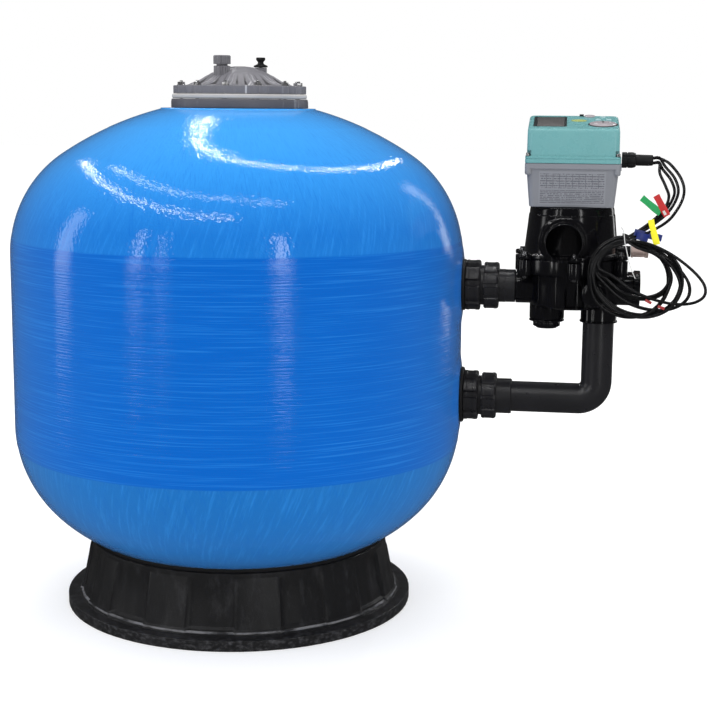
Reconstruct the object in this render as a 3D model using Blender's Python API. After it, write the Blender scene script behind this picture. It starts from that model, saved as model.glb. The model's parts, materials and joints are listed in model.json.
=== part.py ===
"""Side-mount sand filter: wound vessel on a ring stand, with an electric multiport valve.

Units are metres and +Z is up. The floor is Z = 0. Every part hangs on one empty that stands
on the vessel's own axis, so the numbers below are measured from that axis. The pipework lies
in the plane Y = 0 on the +X side, and the valve's open port faces -Y.
"""
import math

import bmesh
import bpy
from mathutils import Euler, Vector

# ---------------------------------------------------------------- driving dimensions
GAP = 0.0003            # clearance between pieces that touch
# vessel
VESSEL_R = 0.460
VESSEL_WALL = 0.010
HOOP_LOW = 0.3826       # the straight cylinder runs between these two heights
HOOP_HIGH = 0.7291
TOP_KNUCKLE = (0.2419, 0.9822)      # radius and swept angle
TOP_CROWN_R = 0.6588
LOW_KNUCKLE = (0.2508, 0.7704)
LOW_CROWN_R = 0.3041
SEAT_R = 0.157          # flat seat under the closure
SEAT_Z = 1.0206
MOUTH_R = 0.100         # filling opening
VESSEL_SIDES = 36
# stand
FOOT_R = 0.360
FOOT_H = 0.022
STAND_RIM_R = 0.308
STAND_INNER_R = 0.296
PANEL_PAIRS = 11
PANEL_PHASE = 0.82            # share of a pair from +X to the middle of the first raised panel
PANEL_STEP = 0.006
# closure
NECK_R = 0.1385
NECK_TOP = 1.0390
SEAL_TOP = 1.0490
LID_R = 0.1345
LID_FLANGE_TOP = 1.0650
LID_TOP = 1.1040
LID_X = 0.003
LID_BOLTS = 12
LID_BOLT_R = 0.1215
LID_BOLT_START = math.radians(29.3)
# side ports
PORT_LOW = 0.447
PORT_HIGH = 0.673
PAD_FACE = 0.4625
PIPE_R = 0.031
PIPE_BORE = 0.027
PIPE_SIDES = 20
BARREL_R = 0.040
RISER_X = 0.735
ELBOW_R = 0.036
# valve
VALVE_X = 0.676
VALVE_FLOOR = 0.635
FLANGE_LOW = 0.702
FLANGE_SPLIT = 0.7335
FLANGE_R = 0.100
VALVE_TOP = 0.8365
VALVE_BOLTS = 6
VALVE_BOLT_R = 0.1075
VALVE_BOLT_START = math.radians(4)
DRAIN_X = 0.632
PLUG_R = 0.0230
PLUG_SIDES = 16
PLUG_WAY_R = (PLUG_R + GAP) / math.cos(math.pi / PLUG_SIDES)   # the plug's corners turn inside its flats
FRONT_PORT = (0.662, 0.7715)        # X and Z of its axis
FRONT_PORT_REACH = 0.130
SIDE_PORT_END = 0.8005
SIGHT_END = 0.8285
SIGHT_Z = 0.746
SIGHT_Y = 0.012
# actuator
BOX_X = 0.674
BOX_FLOOR = 0.8368
BOX_SPLIT = 0.9212
BOX_FRONT_TOP = 0.9870
BOX_TILT = math.radians(9.3)
BOX_HALF = (0.0920, 0.0800)
ENTRY_Z = 0.927
GEAR_TEETH = 20
PINION_TEETH = 8
GEAR_MODULE = 0.0028
GEAR_Z = 0.8860
# cables
CABLE_R = 0.0029
HANK_CENTRE = (0.822, -0.1165, 0.712)
HANK_OUTER = (0.1170, 0.0860)
HANK_BAND = (0.046, 0.024)          # width in its own plane, and thickness

VESSEL_X = -0.189              # puts the origin in the middle of the length without the leads

# ---------------------------------------------------------------- scene set-up
for old in list(bpy.data.objects):
    bpy.data.objects.remove(old, do_unlink=True)

COLLECTION = bpy.context.scene.collection
ROOT = bpy.data.objects.new("filter_axis", None)
ROOT.location = (VESSEL_X, 0, 0)
COLLECTION.objects.link(ROOT)

TO_X = Euler((0, math.pi / 2, 0))       # local +Z becomes +X, local +X becomes -Z
TO_FRONT = Euler((math.pi / 2, 0, 0))   # local +Z becomes -Y
UPRIGHT = Euler((0, 0, 0))


def material(name, colour, roughness, metallic=0.0, alpha=1.0):
    made = bpy.data.materials.new(name)
    made.use_nodes = True
    shader = made.node_tree.nodes["Principled BSDF"]
    shader.inputs["Base Color"].default_value = (*colour, 1.0)
    shader.inputs["Roughness"].default_value = roughness
    shader.inputs["Metallic"].default_value = metallic
    shader.inputs["Alpha"].default_value = alpha
    return made


MATERIALS = {
    "vessel": material("vessel_blue", (0.01, 0.20, 0.72), 0.25),
    "stand": material("stand_black", (0.012, 0.012, 0.014), 0.45),
    "pipe": material("pipe_black", (0.012, 0.012, 0.013), 0.3),
    "lid": material("lid_grey", (0.13, 0.13, 0.15), 0.45),
    "seal": material("seal_pale", (0.42, 0.41, 0.40), 0.6),
    "rubber": material("rubber_black", (0.015, 0.015, 0.015), 0.7),
    "steel": material("steel", (0.6, 0.6, 0.6), 0.3, 1.0),
    "case": material("case_grey", (0.27, 0.28, 0.31), 0.45),
    "cover": material("cover_teal", (0.16, 0.45, 0.44), 0.4),
    "window": material("window_dark", (0.05, 0.05, 0.05), 0.1),
    "key": material("key_grey", (0.45, 0.55, 0.55), 0.5),
    "clear": material("sight_clear", (0.45, 0.36, 0.33), 0.1, 0.0, 0.5),
    "gear": material("gear_white", (0.7, 0.7, 0.66), 0.4),
    "cable": material("cable_black", (0.012, 0.012, 0.012), 0.45),
}


# ---------------------------------------------------------------- mesh helpers
def finish_mesh(name, bm, mat, location=(0, 0, 0), rotation=UPRIGHT, parent=None, smooth=35):
    """Turn a bmesh into a named object with outward faces."""
    bmesh.ops.recalc_face_normals(bm, faces=bm.faces)
    mesh = bpy.data.meshes.new(name)
    bm.to_mesh(mesh)
    bm.free()
    mesh.materials.append(MATERIALS[mat])
    mesh.shade_smooth()
    mesh.set_sharp_from_angle(angle=math.radians(smooth))
    made = bpy.data.objects.new(name, mesh)
    made.location = location
    made.rotation_euler = rotation
    made.parent = parent or ROOT
    COLLECTION.objects.link(made)
    return made


def bridge(bm, lower, upper):
    """Close the strip between two rings; a ring of one vertex is a pole."""
    count = max(len(lower), len(upper))
    for i in range(count):
        j = (i + 1) % count
        corners = [lower[i % len(lower)], lower[j % len(lower)], upper[j % len(upper)],
                   upper[i % len(upper)]]
        face = []
        for corner in corners:
            if corner not in face:
                face.append(corner)
        bm.faces.new(face)


def turned_mesh(bm, outline, sides, centre=(0, 0), start=0.0):
    """Revolve (radius, height) points about Z. The outline closes on itself or along the axis."""
    rings = []
    for radius, height in outline:
        count = sides if radius > 1e-9 else 1
        ring = []
        for i in range(count):
            turn = start + 2 * math.pi * i / count
            ring.append(bm.verts.new((centre[0] + radius * math.cos(turn),
                                      centre[1] + radius * math.sin(turn), height)))
        rings.append(ring)
    for lower, upper in zip(rings, rings[1:] + rings[:1]):
        wide, narrow = (lower, upper) if len(lower) > len(upper) else (upper, lower)
        if len(narrow) > 1:
            bridge(bm, lower, upper)
        elif len(wide) > 1 and abs(wide[0].co.z - narrow[0].co.z) < 1e-6:
            bm.faces.new(wide)
        elif len(wide) > 1:
            bridge(bm, lower, upper)
    bmesh.ops.delete(bm, geom=[vert for vert in bm.verts if not vert.link_faces], context="VERTS")


def turned(name, outline, sides, mat, location=(0, 0, 0), rotation=UPRIGHT, parent=None, start=0.0):
    bm = bmesh.new()
    turned_mesh(bm, outline, sides, start=start)
    return finish_mesh(name, bm, mat, location, rotation, parent)


def rod(radius, low, high):
    """Outline of a plain solid cylinder."""
    return [(0, low), (radius, low), (radius, high), (0, high)]


def hide_tool(tool):
    tool.hide_render = True
    tool.display_type = "WIRE"
    return tool


def combine(target, tool, operation):
    """Boolean against a guide object that isn't part of the model."""
    hide_tool(tool)
    change = target.modifiers.new(operation.lower(), "BOOLEAN")
    change.operation = operation
    change.object = tool
    change.solver = "EXACT"


def add(target, tool):
    combine(target, tool, "UNION")


def cut(target, tool):
    combine(target, tool, "DIFFERENCE")


def arc(centre, radius, start, end, steps):
    """Points on an arc in the (radius, height) plane."""
    points = []
    for i in range(steps + 1):
        turn = start + (end - start) * i / steps
        points.append((centre[0] + radius * math.cos(turn), centre[1] + radius * math.sin(turn)))
    return points


def circle_of(count, radius, start, centre=(0, 0)):
    """Positions around a circle, counted from the front (-Y) towards +X."""
    places = []
    for i in range(count):
        turn = start + 2 * math.pi * i / count
        places.append((centre[0] + radius * math.sin(turn), centre[1] - radius * math.cos(turn)))
    return places


def rounded_rectangle(half_x, half_y, corner, steps=3):
    """Corner arcs of a rectangle, counter-clockwise."""
    points = []
    for sign_x, sign_y, start in ((1, 1, 0), (-1, 1, 90), (-1, -1, 180), (1, -1, 270)):
        for i in range(steps + 1):
            turn = math.radians(start + 90 * i / steps)
            points.append((sign_x * (half_x - corner) + corner * math.cos(turn),
                           sign_y * (half_y - corner) + corner * math.sin(turn)))
    return points


def lofted_mesh(bm, sections):
    """Skin through (height, half_x, half_y, corner, tilt) sections, with both ends capped."""
    rings = []
    for height, half_x, half_y, corner, tilt in sections:
        ring = []
        for x, y in rounded_rectangle(half_x, half_y, corner):
            ring.append(bm.verts.new((x, y, height + y * math.tan(tilt))))
        rings.append(ring)
    for lower, upper in zip(rings, rings[1:]):
        bridge(bm, lower, upper)
    bm.faces.new(rings[0])
    bm.faces.new(list(reversed(rings[-1])))


def swept_tube(bm, centres, tangents, radii, sides):
    """Hollow pipe along a path in the XZ plane; radii are the outer and the bore radius."""
    skins = []
    for radius in radii:
        rings = []
        for (x, z), (tx, tz) in zip(centres, tangents):
            ring = []
            for i in range(sides):
                turn = 2 * math.pi * i / sides
                across = radius * math.cos(turn)
                ring.append(bm.verts.new((x - tz * across, radius * math.sin(turn), z + tx * across)))
            rings.append(ring)
        for first, second in zip(rings, rings[1:]):
            bridge(bm, first, second)
        skins.append(rings)
    for end in (0, -1):
        bridge(bm, skins[0][end], skins[1][end])


# ---------------------------------------------------------------- vessel and stand
def dome(sign, start_z, knuckle, crown_r, end_r, inset, steps):
    """Knuckle and crown arcs of one vessel end, from the cylinder towards the axis."""
    knuckle_r, sweep = knuckle
    knuckle_centre = (VESSEL_R - knuckle_r, 0)
    crown_centre = (knuckle_centre[0] - (crown_r - knuckle_r) * math.cos(sweep),
                    (knuckle_r - crown_r) * math.sin(sweep))
    last = math.acos((end_r - crown_centre[0]) / (crown_r - inset))
    points = arc(knuckle_centre, knuckle_r - inset, 0, sweep, steps)
    points += arc(crown_centre, crown_r - inset, sweep, last, steps)[1:]
    return [(radius, start_z + sign * height) for radius, height in points]


LOW_CENTRE_R = VESSEL_R - LOW_KNUCKLE[0] - (LOW_CROWN_R - LOW_KNUCKLE[0]) * math.cos(LOW_KNUCKLE[1])


def bowl_height(radius):
    """Height of the vessel's underside at a radius inside the lower crown."""
    crown_z = HOOP_LOW + (LOW_CROWN_R - LOW_KNUCKLE[0]) * math.sin(LOW_KNUCKLE[1])
    return crown_z - math.sqrt(LOW_CROWN_R ** 2 - (radius - LOW_CENTRE_R) ** 2)


def make_vessel():
    low_skin = dome(-1, HOOP_LOW, LOW_KNUCKLE, LOW_CROWN_R, LOW_CENTRE_R + 0.001, 0, 4)
    high_skin = dome(1, HOOP_HIGH, TOP_KNUCKLE, TOP_CROWN_R, SEAT_R, 0, 5)
    low_liner = dome(-1, HOOP_LOW, LOW_KNUCKLE, LOW_CROWN_R, LOW_CENTRE_R + 0.001, VESSEL_WALL, 3)
    high_liner = dome(1, HOOP_HIGH, TOP_KNUCKLE, TOP_CROWN_R, MOUTH_R + 0.02, VESSEL_WALL, 3)
    outline = [(0, low_skin[-1][1])]
    outline += list(reversed(low_skin))
    outline += high_skin
    outline += [(SEAT_R - 0.001, SEAT_Z), (MOUTH_R, SEAT_Z), (MOUTH_R, SEAT_Z - 0.012)]
    outline += list(reversed(high_liner))
    outline += low_liner
    outline += [(0, low_liner[-1][1])]
    shell = turned("tank_shell", outline, VESSEL_SIDES, "vessel")
    for height in (PORT_LOW, PORT_HIGH):
        pad = turned("port_pad_guide", rod(0.058, 0.443, PAD_FACE), 20, "vessel", (0, 0, height), TO_X)
        add(shell, pad)
    for height in (PORT_LOW, PORT_HIGH):
        bore = turned("port_bore_guide", rod(BARREL_R + GAP, 0.42, 0.50), 20, "vessel", (0, 0, height), TO_X)
        cut(shell, bore)


def make_stand():
    """Open ring skirt whose wall alternates between raised and recessed panels."""
    bm = bmesh.new()
    rim_z = bowl_height(STAND_INNER_R) - 2 * GAP
    rings = []
    edge = math.pi / PANEL_PAIRS * 0.08
    for pair in range(PANEL_PAIRS):
        middle = 2 * math.pi * (pair + PANEL_PHASE) / PANEL_PAIRS
        quarter = math.pi / PANEL_PAIRS / 2
        for turn, step in ((middle - quarter - edge, PANEL_STEP), (middle - quarter + edge, 0),
                           (middle + quarter - edge, 0), (middle + quarter + edge, PANEL_STEP)):
            outline = [(FOOT_R, 0), (FOOT_R, FOOT_H), (0.3330 - step, FOOT_H + 0.004),
                       (0.3295 - step, 0.034), (0.3130 - step / 2, 0.118), (STAND_RIM_R, 0.130),
                       (STAND_RIM_R, rim_z - 0.004), (STAND_INNER_R, rim_z),
                       (STAND_INNER_R, 0.080), (0.306, 0.050), (0.318, 0.018),
                       (0.346, 0.010), (0.346, 0)]
            ring = [bm.verts.new((r * math.cos(turn), r * math.sin(turn), z)) for r, z in outline]
            rings.append(ring)
    for ring, following in zip(rings, rings[1:] + rings[:1]):
        bridge(bm, ring, following)
    finish_mesh("base_stand", bm, "stand", smooth=20)


# ---------------------------------------------------------------- closure on top
def lid_bolt_holes(name, low):
    bm = bmesh.new()
    for x, y in circle_of(LID_BOLTS, LID_BOLT_R, LID_BOLT_START):
        turned_mesh(bm, rod(0.0036, low, LID_FLANGE_TOP + 0.01), 6, (x, y))
    return finish_mesh(name, bm, "lid", (LID_X, 0, 0))


def make_closure():
    place = (LID_X, 0, 0)
    bore_r = MOUTH_R - LID_X
    neck = turned("neck_flange", [(bore_r, SEAT_Z + GAP), (NECK_R, SEAT_Z + GAP), (NECK_R, NECK_TOP),
                                  (bore_r, NECK_TOP)], 36, "lid", place)
    cut(neck, lid_bolt_holes("neck_hole_guide", 1.0265))
    seal = turned("lid_gasket", [(bore_r, NECK_TOP + GAP), (0.1365, NECK_TOP + GAP),
                                 (0.1365, SEAL_TOP - GAP), (bore_r, SEAL_TOP - GAP)], 36, "seal", place)
    cut(seal, lid_bolt_holes("seal_hole_guide", 1.03))
    lid = turned("tank_lid", [(0.110, SEAL_TOP), (LID_R, SEAL_TOP), (LID_R, LID_FLANGE_TOP),
                              (0.1115, LID_FLANGE_TOP), (0.086, 1.0730), (0.057, 1.0905),
                              (0.028, 1.1020), (0, LID_TOP), (0, 1.0900), (0.026, 1.0885),
                              (0.054, 1.0815), (0.083, 1.0660), (0.110, 1.0580)], 36, "lid", place)
    cut(lid, lid_bolt_holes("lid_hole_guide", 1.04))
    nut_top = LID_FLANGE_TOP + GAP + 0.0062
    for number, (x, y) in enumerate(circle_of(LID_BOLTS, LID_BOLT_R, LID_BOLT_START), 1):
        outline = [(0, 1.0270), (0.0030, 1.0270), (0.0030, LID_FLANGE_TOP + GAP),
                   (0.0075, LID_FLANGE_TOP + GAP), (0.0075, nut_top), (0.0030, nut_top),
                   (0.0030, nut_top + 0.003), (0, nut_top + 0.003)]
        turned(f"lid_bolt_{number:02d}", outline, 6, "steel", (LID_X + x, y, 0))


VENT = (LID_X - 0.026, -0.045)
RELIEF = (LID_X + 0.036, 0.035)


def make_lid_fittings():
    """Air bleed with a knurled cap, and a relief fitting with a turned knob."""
    for place, radius in ((VENT, 0.0168), (RELIEF, 0.0125)):
        pocket = turned("fitting_pocket_guide", rod(radius + GAP, 1.0875, 1.15), 16, "lid", (*place, 0))
        cut(bpy.data.objects["tank_lid"], pocket)
    turned("air_vent_body", [(0, 1.0878), (0.0168, 1.0878), (0.0168, 1.1040), (0.0110, 1.1043),
                             (0.0110, 1.1125), (0, 1.1125)], 16, "lid", (*VENT, 0))
    turned("air_vent_cap", [(0.0113, 1.1070), (0.0172, 1.1070), (0.0172, 1.1225), (0.0150, 1.1245),
                            (0, 1.1245), (0, 1.1131), (0.0113, 1.1131)], 16, "lid", (*VENT, 0))
    turned("relief_valve_body", [(0, 1.0878), (0.0125, 1.0878), (0.0125, 1.1024), (0.0035, 1.1024),
                                 (0.0035, 1.1100), (0, 1.1100)], 16, "lid", (*RELIEF, 0))
    turned("relief_valve_knob", [(0.0038, 1.1027), (0.0142, 1.1027), (0.0142, 1.1065), (0.0085, 1.1085),
                                 (0.0055, 1.1120), (0.0095, 1.1180), (0.0095, 1.1225), (0, 1.1225),
                                 (0, 1.1104), (0.0038, 1.1104)], 16, "rubber", (*RELIEF, 0))


# ---------------------------------------------------------------- side connections
def make_side_connection(prefix, height, flange_r, tail_r, tail_end, spigot):
    """Bulkhead, nut, seal, union nut and union tail, turned about the port's axis."""
    place = (0, 0, height)
    turned(prefix + "_bulkhead", [(PIPE_BORE, 0.428), (0.052, 0.428), (0.052, 0.4425), (BARREL_R, 0.4425),
                                  (BARREL_R, 0.5165), (PIPE_BORE, 0.5165)], 20, "pipe", place, TO_X)
    turned(prefix + "_bulkhead_seal", [(BARREL_R + GAP, PAD_FACE + GAP), (flange_r, PAD_FACE + GAP),
                                       (flange_r, 0.4690), (BARREL_R + GAP, 0.4690)],
           20, "rubber", place, TO_X)
    turned(prefix + "_bulkhead_nut", [(BARREL_R + GAP, 0.4693), (0.0505, 0.4693), (0.0508, 0.4960),
                                      (0.0485, 0.4980), (BARREL_R + GAP, 0.4980)], 20, "pipe", place, TO_X)
    turned(prefix + "_union_tail", [(PIPE_BORE, 0.5168), (0.0385, 0.5168), (0.0385, 0.5225),
                                    (tail_r, 0.5225), (tail_r, tail_end)] + spigot,
           20, "pipe", place, TO_X)
    # The nut turns, so the flats of its bore stay outside the corners of what is in it.
    flat_room = 1 / math.cos(math.pi / PIPE_SIDES)
    bore_r = (BARREL_R + GAP) * flat_room
    lip_r = (tail_r + GAP) * flat_room
    turned(prefix + "_union_nut", [(bore_r, 0.5050), (0.0455, 0.5050), (0.0473, 0.5075),
                                   (0.0473, 0.5320), (0.0440, 0.5350), (lip_r, 0.5350), (lip_r, 0.5229),
                                   (bore_r, 0.5229)], PIPE_SIDES, "pipe", place, TO_X)


def make_connections():
    make_side_connection("upper", PORT_HIGH, 0.0520, 0.0333, 0.5680,
                         [(0.0290, 0.5685), (0.0290, 0.5900), (PIPE_BORE, 0.5900)])
    socket_bore = PIPE_R + GAP
    make_side_connection("lower", PORT_LOW, 0.0568, 0.0357, 0.5655,
                         [(socket_bore, 0.5655), (socket_bore, 0.5440), (PIPE_BORE, 0.5440)])
    centres = [(0.5445, PORT_LOW)]
    tangents = [(1, 0)]
    bend_centre = (RISER_X - ELBOW_R, PORT_LOW + ELBOW_R)
    steps = 6
    for i in range(steps + 1):
        turn = -math.pi / 2 + math.pi / 2 * i / steps
        centres.append((bend_centre[0] + ELBOW_R * math.cos(turn),
                        bend_centre[1] + ELBOW_R * math.sin(turn)))
        tangents.append((-math.sin(turn), math.cos(turn)))
    centres.append((RISER_X, 0.6380))
    tangents.append((0, 1))
    bm = bmesh.new()
    swept_tube(bm, centres, tangents, (PIPE_R, PIPE_BORE), 20)
    finish_mesh("bend_pipe", bm, "pipe")


def make_internals():
    """Water distributor under the upper port's level, and collector at the bottom."""
    turned("inlet_diffuser", [(0, 0.150), (0.060, 0.150), (0.060, 0.165), (0.0262, 0.175),
                              (0.0262, 0.4270 + 0.05), (0.0210, 0.4270 + 0.05), (0.0210, 0.170), (0, 0.170)],
           16, "pipe", (0, 0, PORT_HIGH), TO_X)
    collector = turned("underdrain", rod(0.0600, 0.1500, 0.2000), 16, "pipe", (0.080, 0, 0))
    add(collector, turned("drop_guide", rod(0.0300, 0.1900, PORT_LOW + 0.030), 16, "pipe", (0.080, 0, 0)))
    add(collector, turned("level_guide", rod(0.0262, 0.0850, 0.4770), 16, "pipe", (0, 0, PORT_LOW), TO_X))
    for number in range(4):
        aim = Euler((0, math.pi / 2, math.radians(45 + 90 * number)))
        add(collector, turned(f"lateral_guide_{number}", rod(0.0120, 0.0500, 0.2300), 8, "pipe",
                              (0.080, 0, 0.175), aim))
    cut(collector, turned("level_bore_guide", rod(0.0210, 0.0700, 0.5000), 12, "pipe", (0, 0, PORT_LOW),
                          TO_X))
    cut(collector, turned("drop_bore_guide", rod(0.0200, 0.1700, PORT_LOW), 12, "pipe", (0.080, 0, 0)))


# ---------------------------------------------------------------- multiport valve
def flange_lugs(name, low, high):
    bm = bmesh.new()
    for x, y in circle_of(VALVE_BOLTS, VALVE_BOLT_R, VALVE_BOLT_START):
        turned_mesh(bm, rod(0.0145, low, high), 10, (x, y))
    return finish_mesh(name, bm, "pipe", (VALVE_X, 0, 0))


def make_valve_body():
    body = turned("valve_body", [(0, VALVE_FLOOR), (0.074, VALVE_FLOOR), (0.080, VALVE_FLOOR + 0.006),
                                 (0.080, FLANGE_LOW), (FLANGE_R, FLANGE_LOW + 0.004),
                                 (FLANGE_R, FLANGE_SPLIT), (0, FLANGE_SPLIT)], 28, "pipe", (VALVE_X, 0, 0))
    additions = [
        turned("left_port_guide", rod(0.0335, 0.5690, 0.640), 18, "pipe", (0, 0, PORT_HIGH), TO_X),
        turned("right_port_guide", rod(0.0335, 0.700, SIDE_PORT_END), 18, "pipe", (0, 0, PORT_HIGH), TO_X),
        turned("drain_port_guide", [(0, 0.6045), (0.0350, 0.6045), (0.0350, 0.6085), (0.0330, 0.6095),
                                    (0.0350, 0.6110), (0.0350, 0.660), (0, 0.660)], 18, "pipe",
                                    (DRAIN_X, 0, 0)),
        turned("riser_port_guide", [(0, 0.6045), (0.0375, 0.6045), (0.0375, 0.6085), (0.0360, 0.6095),
                                    (0.0360, 0.6700), (0.0290, 0.6870), (0.0130, 0.6950), (0, 0.6950)],
               18, "pipe", (RISER_X, 0, 0)),
        turned("front_boss_guide", [(0, 0.060), (0.0270, 0.060), (0.0270, 0.0900), (0.0200, 0.0975),
                                    (0, 0.0975)],
               14, "pipe", (0.7230, 0, 0.6713), TO_FRONT),
        flange_lugs("body_lug_guide", FLANGE_LOW - 0.002, FLANGE_SPLIT - 0.0006),
    ]
    for tool in additions:
        add(body, tool)
    removals = [
        turned("rotor_room_guide", rod(0.0720, 0.6500, 0.75), 28, "pipe", (VALVE_X, 0, 0)),
        turned("left_way_guide", rod(0.0293, 0.560, 0.630), 20, "pipe", (0, 0, PORT_HIGH), TO_X),
        turned("right_way_guide", rod(0.0265, 0.720, 0.82), 16, "pipe", (0, 0, PORT_HIGH), TO_X),
        turned("drain_way_guide", rod(PLUG_WAY_R, 0.590, 0.6600), PLUG_SIDES, "pipe", (DRAIN_X, 0, 0)),
        turned("riser_way_guide", [(0, 0.5900), (PIPE_R + GAP, 0.5900), (PIPE_R + GAP, 0.6385),
                                   (PIPE_BORE, 0.6385), (PIPE_BORE, 0.6600), (0, 0.6600)],
               20, "pipe", (RISER_X, 0, 0)),
    ]
    for tool in removals:
        cut(body, tool)


def make_bonnet():
    base_z = FLANGE_SPLIT + GAP
    bonnet = turned("valve_bonnet", [(0.0110, VALVE_TOP), (0.0110, VALVE_TOP - 0.008),
                                     (0.0740, VALVE_TOP - 0.008),
                                     (0.0840, base_z), (FLANGE_R, base_z), (FLANGE_R, base_z + 0.008),
                                     (0.0928, base_z + 0.009), (0.0880, 0.790), (0.0845, 0.8250),
                                     (0.0815, VALVE_TOP)], 28, "pipe", (VALVE_X, 0, 0))
    port_x, port_z = FRONT_PORT
    reach = FRONT_PORT_REACH
    additions = [
        flange_lugs("bonnet_lug_guide", base_z + 0.0006, base_z + 0.0094),
        turned("front_port_guide", [(0, 0.040), (0.0500, 0.040), (0.0500, 0.088), (0.0480, 0.093),
                                    (0.0370, 0.0935), (0.0370, reach), (0, reach)],
               20, "pipe", (port_x, 0, port_z), TO_FRONT),
        turned("sight_port_guide", rod(0.0110, 0.750, 0.7940), 16, "pipe", (0, SIGHT_Y, SIGHT_Z), TO_X),
    ]
    for tool in additions:
        add(bonnet, tool)
    removals = [
        turned("bonnet_room_guide", [(0, 0.7200), (0.0840, 0.7200), (0.0840, base_z),
                                     (0.0740, VALVE_TOP - 0.0081),
                                     (0, VALVE_TOP - 0.0081)], 28, "pipe", (VALVE_X, 0, 0)),
        turned("joint_face_guide", rod(0.150, 0.600, base_z + 0.0001), 12, "pipe", (VALVE_X, 0, 0)),
        turned("front_way_guide", rod(0.0345, 0.030, reach + 0.02), 18, "pipe", (port_x, 0, port_z),
               TO_FRONT),
        turned("sight_way_guide", rod(0.0070, 0.740, 0.80), 12, "pipe", (0, SIGHT_Y, SIGHT_Z), TO_X),
    ]
    for tool in removals:
        cut(bonnet, tool)


def make_valve_inside():
    """The diverter, its stem up into the actuator, and the spring that seats it."""
    turned("valve_rotor", [(0.0104, 0.6900), (0.0705, 0.6900), (0.0705, 0.7080), (0.0200, 0.7120),
                           (0.0200, 0.7260), (0.0104, 0.7260)], 24, "gear", (VALVE_X, 0, 0))
    turned("valve_stem", [(0, 0.6800), (0.0200, 0.6800), (0.0200, 0.6897), (0.0101, 0.6897),
                          (0.0101, 0.9040),
                          (0, 0.9040)], 16, "steel", (VALVE_X, 0, 0))
    turns, steps, sides = 4, 10, 5
    coil_r, wire_r, low, high = 0.0260, 0.0022, 0.7150, 0.8240
    bm = bmesh.new()
    rings = []
    for i in range(turns * steps + 1):
        turn = 2 * math.pi * i / steps
        centre = Vector((coil_r * math.cos(turn), coil_r * math.sin(turn),
                         low + (high - low) * i / (turns * steps)))
        outward = Vector((math.cos(turn), math.sin(turn), 0))
        ring = []
        for k in range(sides):
            around = 2 * math.pi * k / sides
            ring.append(bm.verts.new(centre + wire_r * (outward * math.cos(around)
                                                        + Vector((0, 0, math.sin(around))))))
        rings.append(ring)
    for first, second in zip(rings, rings[1:]):
        bridge(bm, first, second)
    bm.faces.new(rings[0])
    bm.faces.new(list(reversed(rings[-1])))
    finish_mesh("rotor_spring", bm, "steel", (VALVE_X, 0, 0))


def make_valve_fittings():
    turned("drain_plug", [(0, 0.5900), (0.0200, 0.5900), (0.0230, 0.5930), (0.0270, 0.5935),
                          (0.0270, 0.6042),
                          (PLUG_R, 0.6042), (PLUG_R, 0.6250), (0, 0.6250)], PLUG_SIDES, "pipe",
                          (DRAIN_X, 0, 0))
    end = SIDE_PORT_END + GAP
    turned("side_port_cap", [(0, 0.7900), (0.0255, 0.7900), (0.0255, end), (0.0365, end),
                             (0.0365, 0.8120), (0.0340, 0.8140), (0, 0.8140)],
           24, "pipe", (0, 0, PORT_HIGH), TO_X)
    turned("sight_glass", [(0.0085, 0.7943), (0.0120, 0.7943), (0.0120, 0.7985), (0.0110, 0.7990),
                           (0.0110, 0.8215), (0.0122, 0.8220), (0.0122, SIGHT_END), (0, SIGHT_END),
                           (0, 0.8250), (0.0085, 0.8250)], 16, "clear", (0, SIGHT_Y, SIGHT_Z), TO_X)


# ---------------------------------------------------------------- actuator
PANEL = bpy.data.objects.new("panel_frame", None)
PANEL.parent = ROOT
PANEL.location = (BOX_X, 0, BOX_FRONT_TOP + (BOX_HALF[1] - 0.004) * math.tan(BOX_TILT))
PANEL.rotation_euler = (BOX_TILT, 0, 0)
COLLECTION.objects.link(PANEL)


def panel_block(name, half_x, half_y, low, high, mat, place, corner=0.002):
    """Small rounded block on the sloping panel; low and high are measured from its surface."""
    bm = bmesh.new()
    lofted_mesh(bm, [(low, half_x, half_y, corner, 0), (high, half_x, half_y, corner, 0)])
    return finish_mesh(name, bm, mat, (*place, 0), parent=PANEL)


WINDOW = (-0.0460, 0.0060)
WINDOW_HALF = (0.0320, 0.0560)
DIAL = (0.0560, -0.0240)
KEYS = {"key_left": (0.0470, 0.0290), "key_right": (0.0680, 0.0290), "key_up": (0.0575, 0.0560)}
KEY_HALF = (0.0050, 0.0060)


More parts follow.
